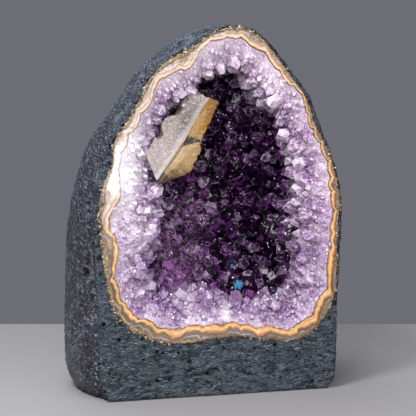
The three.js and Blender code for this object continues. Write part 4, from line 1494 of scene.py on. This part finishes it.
# Points that stand out by themselves, as pixels of the photograph: x, y, width, how pale
standOutPoints = [
    (278, 231, 19, 0.75), (231, 249, 17, 0.6), (255, 202, 20, 0.7), (240, 233, 15, 1.0), (256, 218, 11, 0.5),
    (280, 216, 10, 0.75), (287, 247, 16, 0.9), (287, 195, 13, 0.8), (287, 176, 12, 0.75), (274, 183, 9, 0.3),
    (301, 176, 14, 0.9), (300, 196, 11, 0.9), (303, 243, 15, 1.0), (301, 260, 12, 1.0), (303, 270, 14, 0.9),
    (311, 281, 21, 1.0), (228, 180, 12, 0.65), (225, 194, 12, 0.75), (270, 253, 9, 0.5), (260, 267, 11, 0.4),
    (225, 276, 14, 0.75), (244, 112, 17, 0.6), (234, 116, 11, 0.5), (269, 110, 15, 0.85),
    (256, 115, 10, 0.75),
    (265, 86, 9, 1.0), (265, 144, 14, 0.9), (273, 150, 14, 0.7), (281, 122, 9, 1.0), (286, 135, 14, 1.0),
    (221, 152, 9, 0.6), (245, 157, 16, 0.6), (276, 171, 10, 0.8), (296, 152, 14, 0.8), (219, 133, 13, 0.2),
    (208, 92, 12, 0.95), (254, 81, 10, 0.8), (159, 253, 21, 0.85), (160, 223, 12, 1.0), (151, 229, 14, 1.0),
    (160, 208, 10, 0.95), (181, 214, 12, 0.75), (198, 217, 14, 0.75), (197, 253, 15, 0.5), (196, 285, 9, 0.7),
    (209, 280, 12, 0.6), (176, 276, 18, 0.7), (153, 286, 15, 0.9), (159, 272, 13, 0.6), (138, 268, 14, 1.0),
    (223, 191, 11, 0.5), (240, 190, 12, 0.3), (210, 232, 11, 0.3), (262, 240, 10, 0.3), (247, 262, 12, 0.35),
    (212, 262, 12, 0.4), (228, 215, 12, 0.3), (238, 288, 14, 0.8), (262, 290, 15, 0.9), (285, 285, 12, 0.7),
    (178, 242, 12, 0.45), (205, 205, 10, 0.4), (150, 196, 12, 0.95), (146, 212, 13, 1.0), (143, 246, 12, 1.0),
    (176, 108, 10, 0.7), (185, 99, 9, 0.6), (166, 119, 11, 0.8), (158, 131, 10, 0.8), (151, 141, 9, 0.8),
    (140, 154, 10, 0.9), (150, 168, 12, 0.9), (197, 92, 10, 0.9), (171, 200, 10, 0.6), (166, 232, 12, 0.8),
    (222, 97, 9, 0.3), (233, 84, 9, 0.3), (196, 297, 12, 0.95), (222, 300, 13, 1.0), (248, 303, 12, 1.0),
]
standOutShape = {
    "shape": "bigPoint",
    "lean": 0.3,
    "towardView": 0.75,     # how far they turn to the camera
    "sink": 0.5,            # how deep they stand and how tall they are, against their radius
    "tall": 2.1,
    "behindCut": 0.4 * mm,
    "seed": 41,
}
# Places in the photograph as its pixels, with a reach and a strength: where the amethyst is brighter
# or darker than round it, partly its own colour and partly painted light and painted shade; where a
# painted reflection of blue daylight lies on it; and where the rim is white, partly its own white and partly
# painted glare
patches = {
    "dark": [(243, 120, 9, 0.9), (236, 248, 24, 0.4), (272, 236, 22, 0.45), (250, 205, 20, 0.3),
             (216, 142, 15, 0.75), (270, 264, 22, 0.7), (283, 284, 17, 0.8), (246, 281, 15, 0.5),
             (222, 236, 11, 0.5), (258, 175, 9, 0.5), (228, 100, 10, 0.6), (214, 175, 9, 0.5)],
    "blue": [(238, 285, 6, 1.0), (233, 266, 4, 0.9), (263, 290, 4, 0.7), (276, 288, 6, 0.7)],
    "bright": [(192, 214, 19, 1.0), (168, 272, 30, 0.85), (175, 245, 18, 0.75), (300, 215, 14, 0.3),
               (290, 160, 16, 0.35), (205, 285, 22, 0.3), (150, 235, 12, 0.8), (157, 215, 9, 0.8),
               (182, 260, 20, 0.8)],
    "white": [(128, 148, 20, 1.0), (126, 174, 18, 1.0), (226, 305, 4, 0.8), (225, 312, 4, 0.8),
              (225, 318, 4, 0.8), (140, 172, 9, 0.7), (128, 205, 15, 0.5), (135, 235, 16, 0.4),
              (270, 84, 9, 0.4)],
}


def scattered(tree, wall, entry, label, kind):
    # places for one size of point, each with its aim, size, haze and stretch
    zone = named(tree, "zone")
    start, full, fade, end = kind["zones"]
    factor = times(tree, remap(tree, zone, start, full), remap(tree, zone, fade, end, 1.0, 0.0))
    scatter = put(tree, "GeometryNodeDistributePointsOnFaces", {
        "Mesh": wall, "Distance Min": entry.outputs[f"{label} spacing"], "Density Factor": factor,
        "Density Max": float(kind["density"]), "Seed": kind["seed"]}, distribute_method="POISSON")
    position = put(tree, "GeometryNodeInputPosition").outputs["Position"]
    inward = vectorCalc(tree, "NORMALIZE", vectorCalc(tree, "SCALE", fromMiddle(tree, position), -1.0))
    slant = remap(tree, zone, 0.1, 1.05, kind["inward"], 0.0)
    lean = between(tree, (-kind["lean"],) * 3, (kind["lean"],) * 3, kind["seed"] + 1, "FLOAT_VECTOR")
    aim = vectorCalc(tree, "ADD", scatter.outputs["Normal"], lean)
    aim = vectorCalc(tree, "ADD", aim, vectorCalc(tree, "SCALE", inward, slant))
    aim = vectorCalc(tree, "NORMALIZE", aim)
    smallest, largest = (entry.outputs[f"{label} {word}"] for word in ("smallest", "largest"))
    size = between(tree, smallest, largest, kind["seed"] + 3)
    size = times(tree, size, remap(tree, zone, 0.0, 0.5, 0.62, 1.0))
    points = stored(tree, scatter.outputs["Points"], "aim", aim, "FLOAT_VECTOR")
    points = stored(tree, points, "size", size)
    points = stored(tree, points, "stretch", between(tree, *kind["stretch"], kind["seed"] + 4))
    return stored(tree, points, "haze", between(tree, *kind["pale"], kind["seed"] + 6))


def grownPoints(tree, points, shapes, seed):
    # stands a quartz point on each place, and gives a place part way up it
    aim, size = named(tree, "aim", "FLOAT_VECTOR"), named(tree, "size")
    stand = put(tree, "FunctionNodeAlignRotationToVector", {"Vector": aim}, axis="Z")
    spin = put(tree, "FunctionNodeAxisAngleToRotation", {
        "Axis": (0, 0, 1), "Angle": between(tree, 0.0, math.tau, seed)})
    rotation = put(tree, "FunctionNodeRotateRotation", {
        "Rotation": stand.outputs["Rotation"], "Rotate By": spin.outputs["Rotation"]}, rotation_space="LOCAL")
    height = times(tree, size, named(tree, "stretch"))
    scale = put(tree, "ShaderNodeCombineXYZ", {"X": size, "Y": size, "Z": height}).outputs["Vector"]
    stood = put(tree, "GeometryNodeInstanceOnPoints", {
        "Points": points, "Instance": shapes, "Pick Instance": True,
        "Instance Index": between(tree, 0, quartzPoint["kinds"] - 1, seed + 1, "INT"),
        "Rotation": rotation.outputs["Rotation"], "Scale": scale})
    middle = put(tree, "GeometryNodeSetPosition", {
        "Geometry": points, "Offset": vectorCalc(tree, "SCALE", aim, times(tree, size, 1.3))})
    return stood.outputs["Instances"], middle.outputs["Geometry"]


looseBelow = 2000.0         # corners of a piece of quartz that is taken as a loose chip and left out
finishBelow = (9.0, 1.08, 0.78)     # each of quartzFinishes reaches to here, by the wall's zones


def crustTree(shelves, materials):
    sockets = {name: "NodeSocketObject" for name in ("Body", "Front cut", "Calcite room", "Stand-out places")}
    for label in pointKinds:
        sockets |= {f"{label} {word}": "NodeSocketFloat" for word in ("spacing", "smallest", "largest")}
    tree, entry, leave = geometryTree("quartzCrust", sockets)
    wall = entry.outputs["Geometry"]
    part = {name: put(tree, "GeometryNodeObjectInfo", {"Object": entry.outputs[name]}).outputs["Geometry"]
            for name, kind in sockets.items() if kind == "NodeSocketObject"}
    shapes = {name: shelfOf(tree, shelf) for name, shelf in shelves.items()}
    grown = put(tree, "GeometryNodeMeshBoolean", operation="UNION", solver="MANIFOLD")
    middles = put(tree, "GeometryNodeJoinGeometry")
    tree.links.new(part["Body"], grown.inputs["Mesh 2"])
    places = {label: scattered(tree, wall, entry, label, kind) for label, kind in pointKinds.items()}
    standOuts = put(tree, "GeometryNodeMeshToPoints", {"Mesh": part["Stand-out places"]})
    places["standOut"] = standOuts.outputs["Points"]
    for seed, (label, points) in enumerate(places.items()):
        look = pointKinds.get(label, standOutShape)["shape"]
        stood, middle = grownPoints(tree, points, shapes[look], 100 + 10 * seed)
        tree.links.new(stood, grown.inputs["Mesh 2"])
        tree.links.new(middle, middles.inputs["Geometry"])
    trimmed = put(tree, "GeometryNodeMeshBoolean", {"Mesh 1": grown.outputs["Mesh"]},
                  operation="DIFFERENCE", solver="MANIFOLD")
    for name in ("Front cut", "Calcite room"):
        tree.links.new(part[name], trimmed.inputs["Mesh 2"])
    position = put(tree, "GeometryNodeInputPosition").outputs["Position"]
    near = put(tree, "GeometryNodeSampleNearestSurface", {
        "Mesh": wall, "Sample Position": position, "Value": named(tree, "zone")}, data_type="FLOAT")
    rise = put(tree, "GeometryNodeProximity", {"Geometry": wall}).outputs["Distance"]
    nearest = put(tree, "GeometryNodeSampleNearest", {
        "Geometry": middles.outputs["Geometry"], "Sample Position": position}, domain="POINT")
    haze = put(tree, "GeometryNodeSampleIndex", {
        "Geometry": middles.outputs["Geometry"], "Value": named(tree, "haze"),
        "Index": nearest.outputs["Index"]}, data_type="FLOAT", domain="POINT")
    island = put(tree, "GeometryNodeInputMeshIsland").outputs["Island Index"]
    corners = put(tree, "GeometryNodeAccumulateField", {"Value": 1.0, "Group ID": island}).outputs["Total"]
    held = put(tree, "GeometryNodeDeleteGeometry", {
        "Geometry": trimmed.outputs["Mesh"], "Selection": calc(tree, "LESS_THAN", corners, looseBelow)})
    marked = stored(tree, held.outputs["Geometry"], "zone", near.outputs["Value"])
    marked = stored(tree, marked, "rise", rise)
    marked = stored(tree, marked, "haze", haze.outputs["Value"], domain="FACE")
    marked = stored(tree, marked, "facet", facetValue(tree), domain="FACE")
    for label in ("pointEdge", "bareWall"):
        here = put(tree, "GeometryNodeMaterialSelection", {"Material": marker(label)}).outputs["Selection"]
        marked = stored(tree, marked, label, here, domain="FACE")
    uneven = put(tree, "ShaderNodeTexNoise", {"Scale": 90.0}).outputs["Fac"]
    where = plus(tree, named(tree, "zone"), remap(tree, uneven, 0.3, 0.7, -0.09, 0.09))
    whole = put(tree, "GeometryNodeRealizeInstances", {"Geometry": marked}).outputs["Geometry"]
    smooth = put(tree, "GeometryNodeSetShadeSmooth", {
        "Geometry": whole, "Shade Smooth": calc(tree, "GREATER_THAN", named(tree, "bareWall"), 0.5)})
    finished = smooth.outputs["Geometry"]
    for material, below in zip(materials, finishBelow):
        finished = put(tree, "GeometryNodeSetMaterial", {
            "Geometry": finished, "Selection": calc(tree, "LESS_THAN", where, below), "Material": material})
        finished = finished.outputs["Geometry"]
    tree.links.new(finished, leave.inputs["Geometry"])
    return tree


def fromMiddle(tree, place):
    # the way across the cut face from the middle line to a place
    return vectorCalc(tree, "MULTIPLY", vectorCalc(tree, "SUBTRACT", place, (middleX, 0, middleZ)), (1, 0, 1))


def facetValue(tree):
    # a random value that is the same all over one flat face
    normal = put(tree, "GeometryNodeInputNormal").outputs["Normal"]
    position = put(tree, "GeometryNodeInputPosition").outputs["Position"]
    distance = vectorCalc(tree, "DOT_PRODUCT", normal, position)
    turn = vectorCalc(tree, "SNAP", normal, (0.12, 0.12, 0.12))
    return put(tree, "ShaderNodeTexWhiteNoise", {
        "Vector": turn, "W": calc(tree, "SNAP", distance, 1.3 * mm)}, noise_dimensions="4D").outputs["Value"]


def frontBlock(sizes):
    work = bmesh.new()
    bmesh.ops.create_cube(work, size=1)
    bmesh.ops.scale(work, verts=work.verts, vec=(0.4, 0.1, 0.5))
    bmesh.ops.translate(work, verts=work.verts, vec=(0, faceY + sizes["front"] - 0.05, 0.15))
    return asObject(work, "frontBlock")


def placeStandOuts(wall, sizes):
    surface = meshSurface(wall.data)
    pick = random.Random(sizes["seed"])
    places, aims, widths, hazes = [], [], [], []
    for x, y, width, haze in standOutPoints:
        place, normal, distance = seenOn(surface, (x, y))
        radius = 0.5 * width * pixelWidth(distance)
        view = (camera.location - place).normalized()
        lean = Vector([pick.uniform(-1, 1) for _ in range(3)]) * sizes["lean"]
        aim = (normal + view * sizes["towardView"] + lean).normalized()
        place = place - aim * radius * sizes["sink"]
        place.y += max(0, faceY + sizes["behindCut"] - (place + aim * radius * sizes["tall"]).y)
        places.append(place)
        aims.append(aim)
        widths.append(radius)
        hazes.append(haze)
    mesh = bpy.data.meshes.new("standOutPlaces")
    mesh.from_pydata(places, [], [])
    mesh.attributes.new("aim", "FLOAT_VECTOR", "POINT").data.foreach_set("vector", np.ravel(aims))
    for label, values in (("size", widths), ("haze", hazes), ("stretch", [1.0] * len(widths))):
        paint(mesh, label, values)
    return bpy.data.objects.new("standOutPlaces", mesh)


def paintPatches(mesh):
    # how strongly each kind of patch of the photograph shows at each vertex
    surface = meshSurface(mesh)
    count = len(mesh.vertices)
    place = np.zeros(count * 3, np.float32)
    mesh.vertices.foreach_get("co", place)
    place = place.reshape(-1, 3)
    for label, spots in patches.items():
        strength = np.zeros(count)
        for x, y, reach, share in spots:
            centre, _, distance = seenOn(surface, (x, y))
            spread = reach * pixelWidth(distance)
            gap = np.linalg.norm(place - np.array(centre), axis=1) / spread
            strength = np.maximum(strength, share * np.exp(-gap ** 2))
        paint(mesh, label, strength)


def radialPlace(tree, place):
    # a place stretched along the spokes from the middle line, for columns that grew inward
    apart = fromMiddle(tree, place)
    reach = vectorCalc(tree, "LENGTH", apart)
    spoke = vectorCalc(tree, "SCALE", vectorCalc(tree, "NORMALIZE", apart), 0.07)
    outward = put(tree, "ShaderNodeCombineXYZ", {"Y": times(tree, reach, 0.35)}).outputs["Vector"]
    return vectorCalc(tree, "ADD", spoke, outward)


def rimQuartzTone(tree, marks, looks):
    # the sawn pale rim: prisms side by side that grew inwards, white to violet, with painted shade in the
    # clefts between lumps
    rise, facet = marks["rise"], marks["facet"]
    bent, clumps, columns = looks["bent"], looks["clumps"], looks["columns"]
    tone = ramp(tree, times(tree, bent, 0.5), [
        (0.0, (0.53, 0.45, 0.48)), (0.10, (0.42, 0.31, 0.38)), (0.25, (0.31, 0.19, 0.29)),
        (0.42, (0.24, 0.12, 0.25)), (0.55, (0.12, 0.040, 0.15))])
    tone = blend(tree, times(tree, looks["paleSide"], 0.5), tone, (0.54, 0.53, 0.55))
    inner = remap(tree, bent, 0.0, 0.5, 0.3, 1.0)
    tone = blend(tree, times(tree, remap(tree, clumps, 0.44, 0.54, 0, 0.95), inner), tone,
                       (0.19, 0.050, 0.23))
    chance = looks["prismChance"]
    tone = blend(tree, times(tree, remap(tree, chance, 0.5, 0.15, 0, 0.75), inner), tone,
                       (0.25, 0.10, 0.29))
    tone = layered(tree, tone, [
        (remap(tree, chance, 0.7, 1.0, 0, 0.7), (0.76, 0.71, 0.74)),
        (remap(tree, columns, 0.48, 0.36, 0, 0.35), (0.31, 0.18, 0.36)),
        (remap(tree, columns, 0.55, 0.68, 0, 0.3), (0.74, 0.71, 0.74)),
    ])
    milky = times(tree, remap(tree, clumps, 0.48, 0.38), remap(tree, rise, 0.0006, 0.003, 0.1, 0.8))
    tone = layered(tree, tone, [
        (milky, (0.76, 0.71, 0.76)),
        (remap(tree, looks["shade"], 0.5, 0.36, 0, 0.35), (0.25, 0.13, 0.30)),
    ])
    # painted shade: low on the wall between the points, the clefts are made dark
    cleft = times(tree, remap(tree, rise, 0.0022, 0.0002), remap(tree, bent, 0.4, 0.75))
    cleft = times(tree, cleft, remap(tree, clumps, 0.4, 0.52, 0.3, 1.0))
    tone = blend(tree, cleft, tone, (0.075, 0.014, 0.11))
    lines = calc(tree, "MAXIMUM", times(tree, looks["veil"], 0.4), times(tree, looks["prismEdge"], 0.45))
    tone = blend(tree, lines, tone, (0.82, 0.78, 0.82))
    # painted shade on raised faces with a low random facet value
    darker = times(tree, remap(tree, facet, 0.0, 0.6, 0.65, 0.0), remap(tree, rise, 0.0006, 0.003))
    tone = layered(tree, tone, [
        (darker, (0.24, 0.12, 0.27)),
        # painted highlight on the bevelled edges of the points
        (times(tree, marks["pointEdge"], 0.45), (0.86, 0.83, 0.87)),
        (looks["low"], (0.70, 0.655, 0.76), "MULTIPLY"),
        (looks["high"], (0.84, 0.72, 0.80)),
    ])
    # white patches: partly the rim's own white, partly a painted glare on the left of the rim
    return blend(tree, times(tree, marks["white"], 0.9), tone, (0.90, 0.88, 0.89))


def deepQuartzTone(tree, marks, looks):
    # the points in the hollow: painted shade in the nearly black gaps, violet faces lighter or darker face by
    # face as painted light and shade, hazy streaks and painted highlights on the bevelled edges
    rise, haze, bright, edge, facet = (marks[key] for key in ("rise", "haze", "bright", "pointEdge", "facet"))
    shade, veil = looks["shade"], looks["veil"]
    # painted shade: low on the points, in the gaps between them, the tone falls to nearly black
    tip = remap(tree, rise, 0.0008, 0.0065, smooth=True)
    # painted light and shade: each face made lighter or darker by its random facet value
    clear = remap(tree, facet, 0.48, 0.95, 0.02, 1.15, smooth=True)
    clear = calc(tree, "MAXIMUM", clear, remap(tree, haze, 0.6, 1.0, 0.05, 0.6))
    hazeHere = times(tree, times(tree, haze, tip), clear)
    # painted highlight on the bevelled edges, with veils and the bright patches added
    extras = plus(tree, times(tree, veil, 0.5), times(tree, edge, 0.55))
    extras = plus(tree, extras, times(tree, bright, 0.3))
    lively = remap(tree, haze, 0.1, 0.9, 0.15, 1.25)
    hazeHere = plus(tree, hazeHere, times(tree, times(tree, extras, tip), lively))
    tone = ramp(tree, hazeHere, [
        (0.0, (0.007, 0.001, 0.011)), (0.11, (0.038, 0.002, 0.054)), (0.26, (0.17, 0.030, 0.215)),
        (0.5, (0.43, 0.21, 0.49)), (0.85, (0.86, 0.78, 0.90))])
    tone = blend(tree, remap(tree, shade, 0.51, 0.44, 0, 0.85), tone, (0.006, 0.001, 0.010))
    # bright patches: partly a deeper violet, partly painted light that makes the faces glow
    glow = times(tree, bright, remap(tree, shade, 0.43, 0.51, 0.08, 1.0))
    glow = times(tree, glow, remap(tree, facet, 0.15, 0.8, 0.12, 1.15))
    tone = blend(tree, glow, tone, (0.57, 0.17, 0.63))
    # pale streaks in the bright patches: painted highlight on the edges, and veils
    streaks = times(tree, calc(tree, "MAXIMUM", edge, veil), times(tree, bright, 0.7))
    tone = blend(tree, streaks, tone, (0.80, 0.66, 0.82))
    # painted shade: the dark patches made nearly black
    dim = times(tree, marks["dark"], remap(tree, facet, 0.9, 0.5, 0.3, 0.85))
    tone = blend(tree, dim, tone, (0.010, 0.002, 0.016))
    # painted reflection of blue daylight on a few faces in the blue patches
    lit = times(tree, remap(tree, marks["blue"], 0.3, 0.5), remap(tree, facet, 0.3, 0.35))
    return blend(tree, lit, tone, (0.12, 0.46, 0.80))


prismScale = 210        # prisms to the metre across the sawn rim
veils = ((120, 0.022), (260, 0.035))    # healed cracks inside the points: how many to the metre, width


def quartzGroup():
    # the inside of the quartz as one group: its tone, roughness and relief, shared by the three finishes
    tree, entry, leave = shaderGroup("quartzInside", {
        "Smoothest": 0.02, "Roughest": 0.1, "Relief": 0.0001, "Tilt": 0.2}, {
        "Tone": "NodeSocketColor", "Roughness": "NodeSocketFloat", "Height": "NodeSocketFloat"})
    place = put(tree, "ShaderNodeTexCoord").outputs["Object"]
    labels = ("zone", "rise", "haze", "bright", "dark", "blue", "white", "pointEdge", "facet")
    marks = {label: painted(tree, label) for label in labels}
    facet = marks["facet"]
    spokes = radialPlace(tree, place)
    columns = speckle(tree, spokes, 330, 4, 0.6)
    cloud = speckle(tree, place, 48, 3)
    bent = plus(tree, marks["zone"], remap(tree, cloud, 0.3, 0.7, -0.2, 0.2))
    bent = minus(tree, bent, times(tree, marks["bright"], 0.35))
    axes = put(tree, "ShaderNodeSeparateXYZ", {"Vector": place})
    paleSide = minus(tree, axes.outputs["Z"], axes.outputs["X"])
    # each flat face shows another part of the inside, so its pattern is shifted
    shift = put(tree, "ShaderNodeCombineXYZ", {"X": facet, "Y": times(tree, facet, 0.6)})
    inside = vectorCalc(tree, "ADD", place, vectorCalc(tree, "SCALE", shift.outputs["Vector"], 0.4))
    bentSpokes = vectorCalc(tree, "ADD", spokes, vectorCalc(tree, "SCALE", shift.outputs["Vector"], 0.03))
    prisms = cells(tree, bentSpokes, prismScale).outputs["Color"]
    edges = cells(tree, bentSpokes, prismScale, "DISTANCE_TO_EDGE").outputs["Distance"]
    looks = {
        "bent": bent, "columns": columns,
        "clumps": speckle(tree, place, 88, 3, 0.55),
        "shade": speckle(tree, inside, 240, 2, 0.55),
        "high": remap(tree, axes.outputs["Z"], 0.19, 0.23, 0, 0.3),
        "veil": calc(tree, "MAXIMUM", *(veilLines(tree, inside, scale, width) for scale, width in veils)),
        "paleSide": remap(tree, paleSide, 0.11, 0.22, smooth=True),
        "low": remap(tree, axes.outputs["Z"], 0.14, 0.085, 0, 0.85),
        "prismChance": put(tree, "ShaderNodeSeparateColor", {"Color": prisms}).outputs["Red"],
        "prismEdge": remap(tree, edges, 0.06, 0.02),
    }
    tone = blend(tree, remap(tree, bent, 0.9, 1.1), rimQuartzTone(tree, marks, looks),
                       deepQuartzTone(tree, marks, looks))
    # painted glints: small near-white spots, more of them towards the hollow
    share = remap(tree, bent, 0.6, 1.1, 0.025, 0.07)
    paintedGlints = placed(tree, glints, scale=520.0, size=0.34, share=share)["Mask"]
    tone = blend(tree, paintedGlints, tone, (0.95, 0.93, 0.97))
    feed(tree, tone, leave.inputs["Tone"])
    fine = speckle(tree, place, 420, 4, 0.65)
    rough = remap(tree, fine, 0.35, 0.7, entry.outputs["Smoothest"], entry.outputs["Roughest"])
    feed(tree, rough, leave.inputs["Roughness"])
    height = plus(tree, cells(tree, place, 430).outputs["Distance"], times(tree, columns, 1.2))
    height = times(tree, height, entry.outputs["Relief"])
    tilted = tiltedCells(tree, place, 700, entry.outputs["Tilt"])
    feed(tree, plus(tree, height, tilted), leave.inputs["Height"])
    return tree


# Kinds of quartz, from the hollow outwards: name, transmission, density of colour inside, least and most
# roughness, relief, and tilt of the small flats on its faces
quartzFinishes = [
    ("deepAmethyst", 0.38, 170, 0.02, 0.08, 0.12 * mm, 0.20),
    ("paleAmethyst", 0.30, 80, 0.03, 0.14, 0.14 * mm, 0.26),
    ("milkyRimQuartz", 0.1, 0, 0.08, 0.30, 0.14 * mm, 0.30),
]


quartzIndex = 1.544


def quartzMaterial(group, name, transmission, density, smoothest, roughest, relief, tilt):
    material, tree, shader, _ = newMaterial(name)
    look = placed(tree, group, smoothest=smoothest, roughest=roughest, relief=relief, tilt=tilt)
    milkiness = {} if density else {
        "Subsurface_Weight": 0.35, "Subsurface_Radius": (1.0, 0.8, 1.0), "Subsurface_Scale": 2.0 * mm}
    dress(tree, shader, look["Tone"], look["Roughness"], bump(tree, look["Height"], 1.0),
          Transmission_Weight=transmission, IOR=quartzIndex, Specular_IOR_Level=0.35, **milkiness)
    if density:
        tintInside(tree, (0.50, 0.20, 0.68), density)
    return material


def buildCrust():
    wall, angles, rows, back = buildWall(wallSizes)
    helpers = {"Body": buildBody(wallSizes, angles, rows, back), "Front cut": frontBlock(wallSizes),
               "Calcite room": calciteRoom(), "Stand-out places": placeStandOuts(wall, standOutShape)}
    shelves = {name: quartzShapes(name, quartzPoint, worn) for name, worn in quartzPoint["wornEdge"].items()}
    modifier = wall.modifiers.new("crystals", "NODES")
    group = quartzGroup()
    finishes = [quartzMaterial(group, *finish) for finish in quartzFinishes]
    modifier.node_group = crustTree(shelves, finishes)
    for label, helper in helpers.items():
        setInput(modifier, label, helper)
    for label, kind in pointKinds.items():
        setInput(modifier, f"{label} spacing", kind["spacing"])
        setInput(modifier, f"{label} smallest", kind["small"])
        setInput(modifier, f"{label} largest", kind["large"])
    mesh = evaluated(wall)
    mesh.name = "quartz_crust"
    for label in ("bareWall", "pointFace", "pointEdge"):
        place = mesh.materials.find(label)
        if place >= 0:
            mesh.materials.pop(index=place)
    paintPatches(mesh)
    crust = shown(bpy.data.objects.new("quartz_crust", mesh))
    discard(wall, *helpers.values())
    for shelf in shelves.values():
        clearShelf(shelf)
    return crust


crust = buildCrust()
settle(crust)
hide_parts("amethyst_crust")
print("quartz crust made:", len(crust.data.polygons), "faces,",
      sum(len(face.vertices) - 2 for face in crust.data.polygons), "triangles")


# Floor and light

studio = {
    "floorTone": (0.24, 0.24, 0.245, 1),
    "floorBehind": 0.169,   # how far behind the druse the floor ends
    "skyTone": (0.152, 0.154, 0.179, 1),
    "skyStrength": 1.0,
}
lamps = {
    "keyLight": {"place": (-0.52, -0.72, 0.92), "size": 0.5, "power": 6.8, "tone": (1, 0.985, 0.97)},
    "rakingLight": {"place": (-0.34, -0.30, 0.72), "size": 0.14, "power": 4.9, "tone": (1, 0.99, 0.98)},
    "fillLight": {"place": (0.72, -0.85, 0.40), "size": 0.45, "power": 4.2, "tone": (0.95, 0.97, 1)},
    "topLight": {"place": (-0.15, 0.2, 0.95), "size": 0.5, "power": 5, "tone": (0.96, 0.98, 1)},
}
# Small lamps round the front, for the glints on the crystals
sparkPlaces = [
    (-0.42, 0.25), (-0.15, 0.62), (0.18, 0.42), (0.42, 0.7), (0.05, 0.12), (-0.3, 0.45), (0.3, 0.2),
    (-0.05, 0.9), (-0.55, 0.6), (0.6, 0.45),
]
for number, (across, up) in enumerate(sparkPlaces):
    lamps[f"sparkLight{number}"] = {
        "place": (across, -1.0, up), "size": 0.09, "power": 0.95, "tone": (1, 0.91, 1)}


def makeFloor(values):
    work = bmesh.new()
    bmesh.ops.create_grid(work, x_segments=1, y_segments=1, size=3)
    for vertex in work.verts:
        vertex.co.y = min(vertex.co.y, values["floorBehind"])
    turn = Matrix.Rotation(math.radians(-photoView["turn"]), 3, "Z")
    bmesh.ops.rotate(work, verts=work.verts, matrix=turn)
    floor = shown(asObject(work, "floor"))
    material, _, shader, _ = newMaterial("paleFloor")
    shader.inputs["Base Color"].default_value = values["floorTone"]
    shader.inputs["Roughness"].default_value = 0.6
    floor.data.materials.append(material)


def makeLamps(values):
    target = Vector((0, 0, 0.12))
    for name, lamp in values.items():
        data = bpy.data.lights.new(name, "AREA")
        data.shape = "SQUARE"
        data.size = lamp["size"]
        data.energy = lamp["power"]
        data.color = lamp["tone"]
        light = bpy.data.objects.new(name, data)
        light.location = lamp["place"]
        light.rotation_euler = (target - light.location).to_track_quat("-Z", "Y").to_euler()
        shown(light)


def makeSky(values):
    world = bpy.data.worlds.new("studioSky")
    world.use_nodes = True
    background = world.node_tree.nodes["Background"]
    background.inputs["Color"].default_value = values["skyTone"]
    background.inputs["Strength"].default_value = values["skyStrength"]
    bpy.context.scene.world = world


makeFloor(studio)
makeLamps(lamps)
makeSky(studio)
scene = bpy.context.scene
scene.view_settings.view_transform = "Standard"
scene.cycles.use_denoising = True
scene.cycles.max_bounces = 12
scene.cycles.transmission_bounces = 10
scene.cycles.caustics_refractive = True
scene.cycles.sample_clamp_indirect = 6
print("studio made")
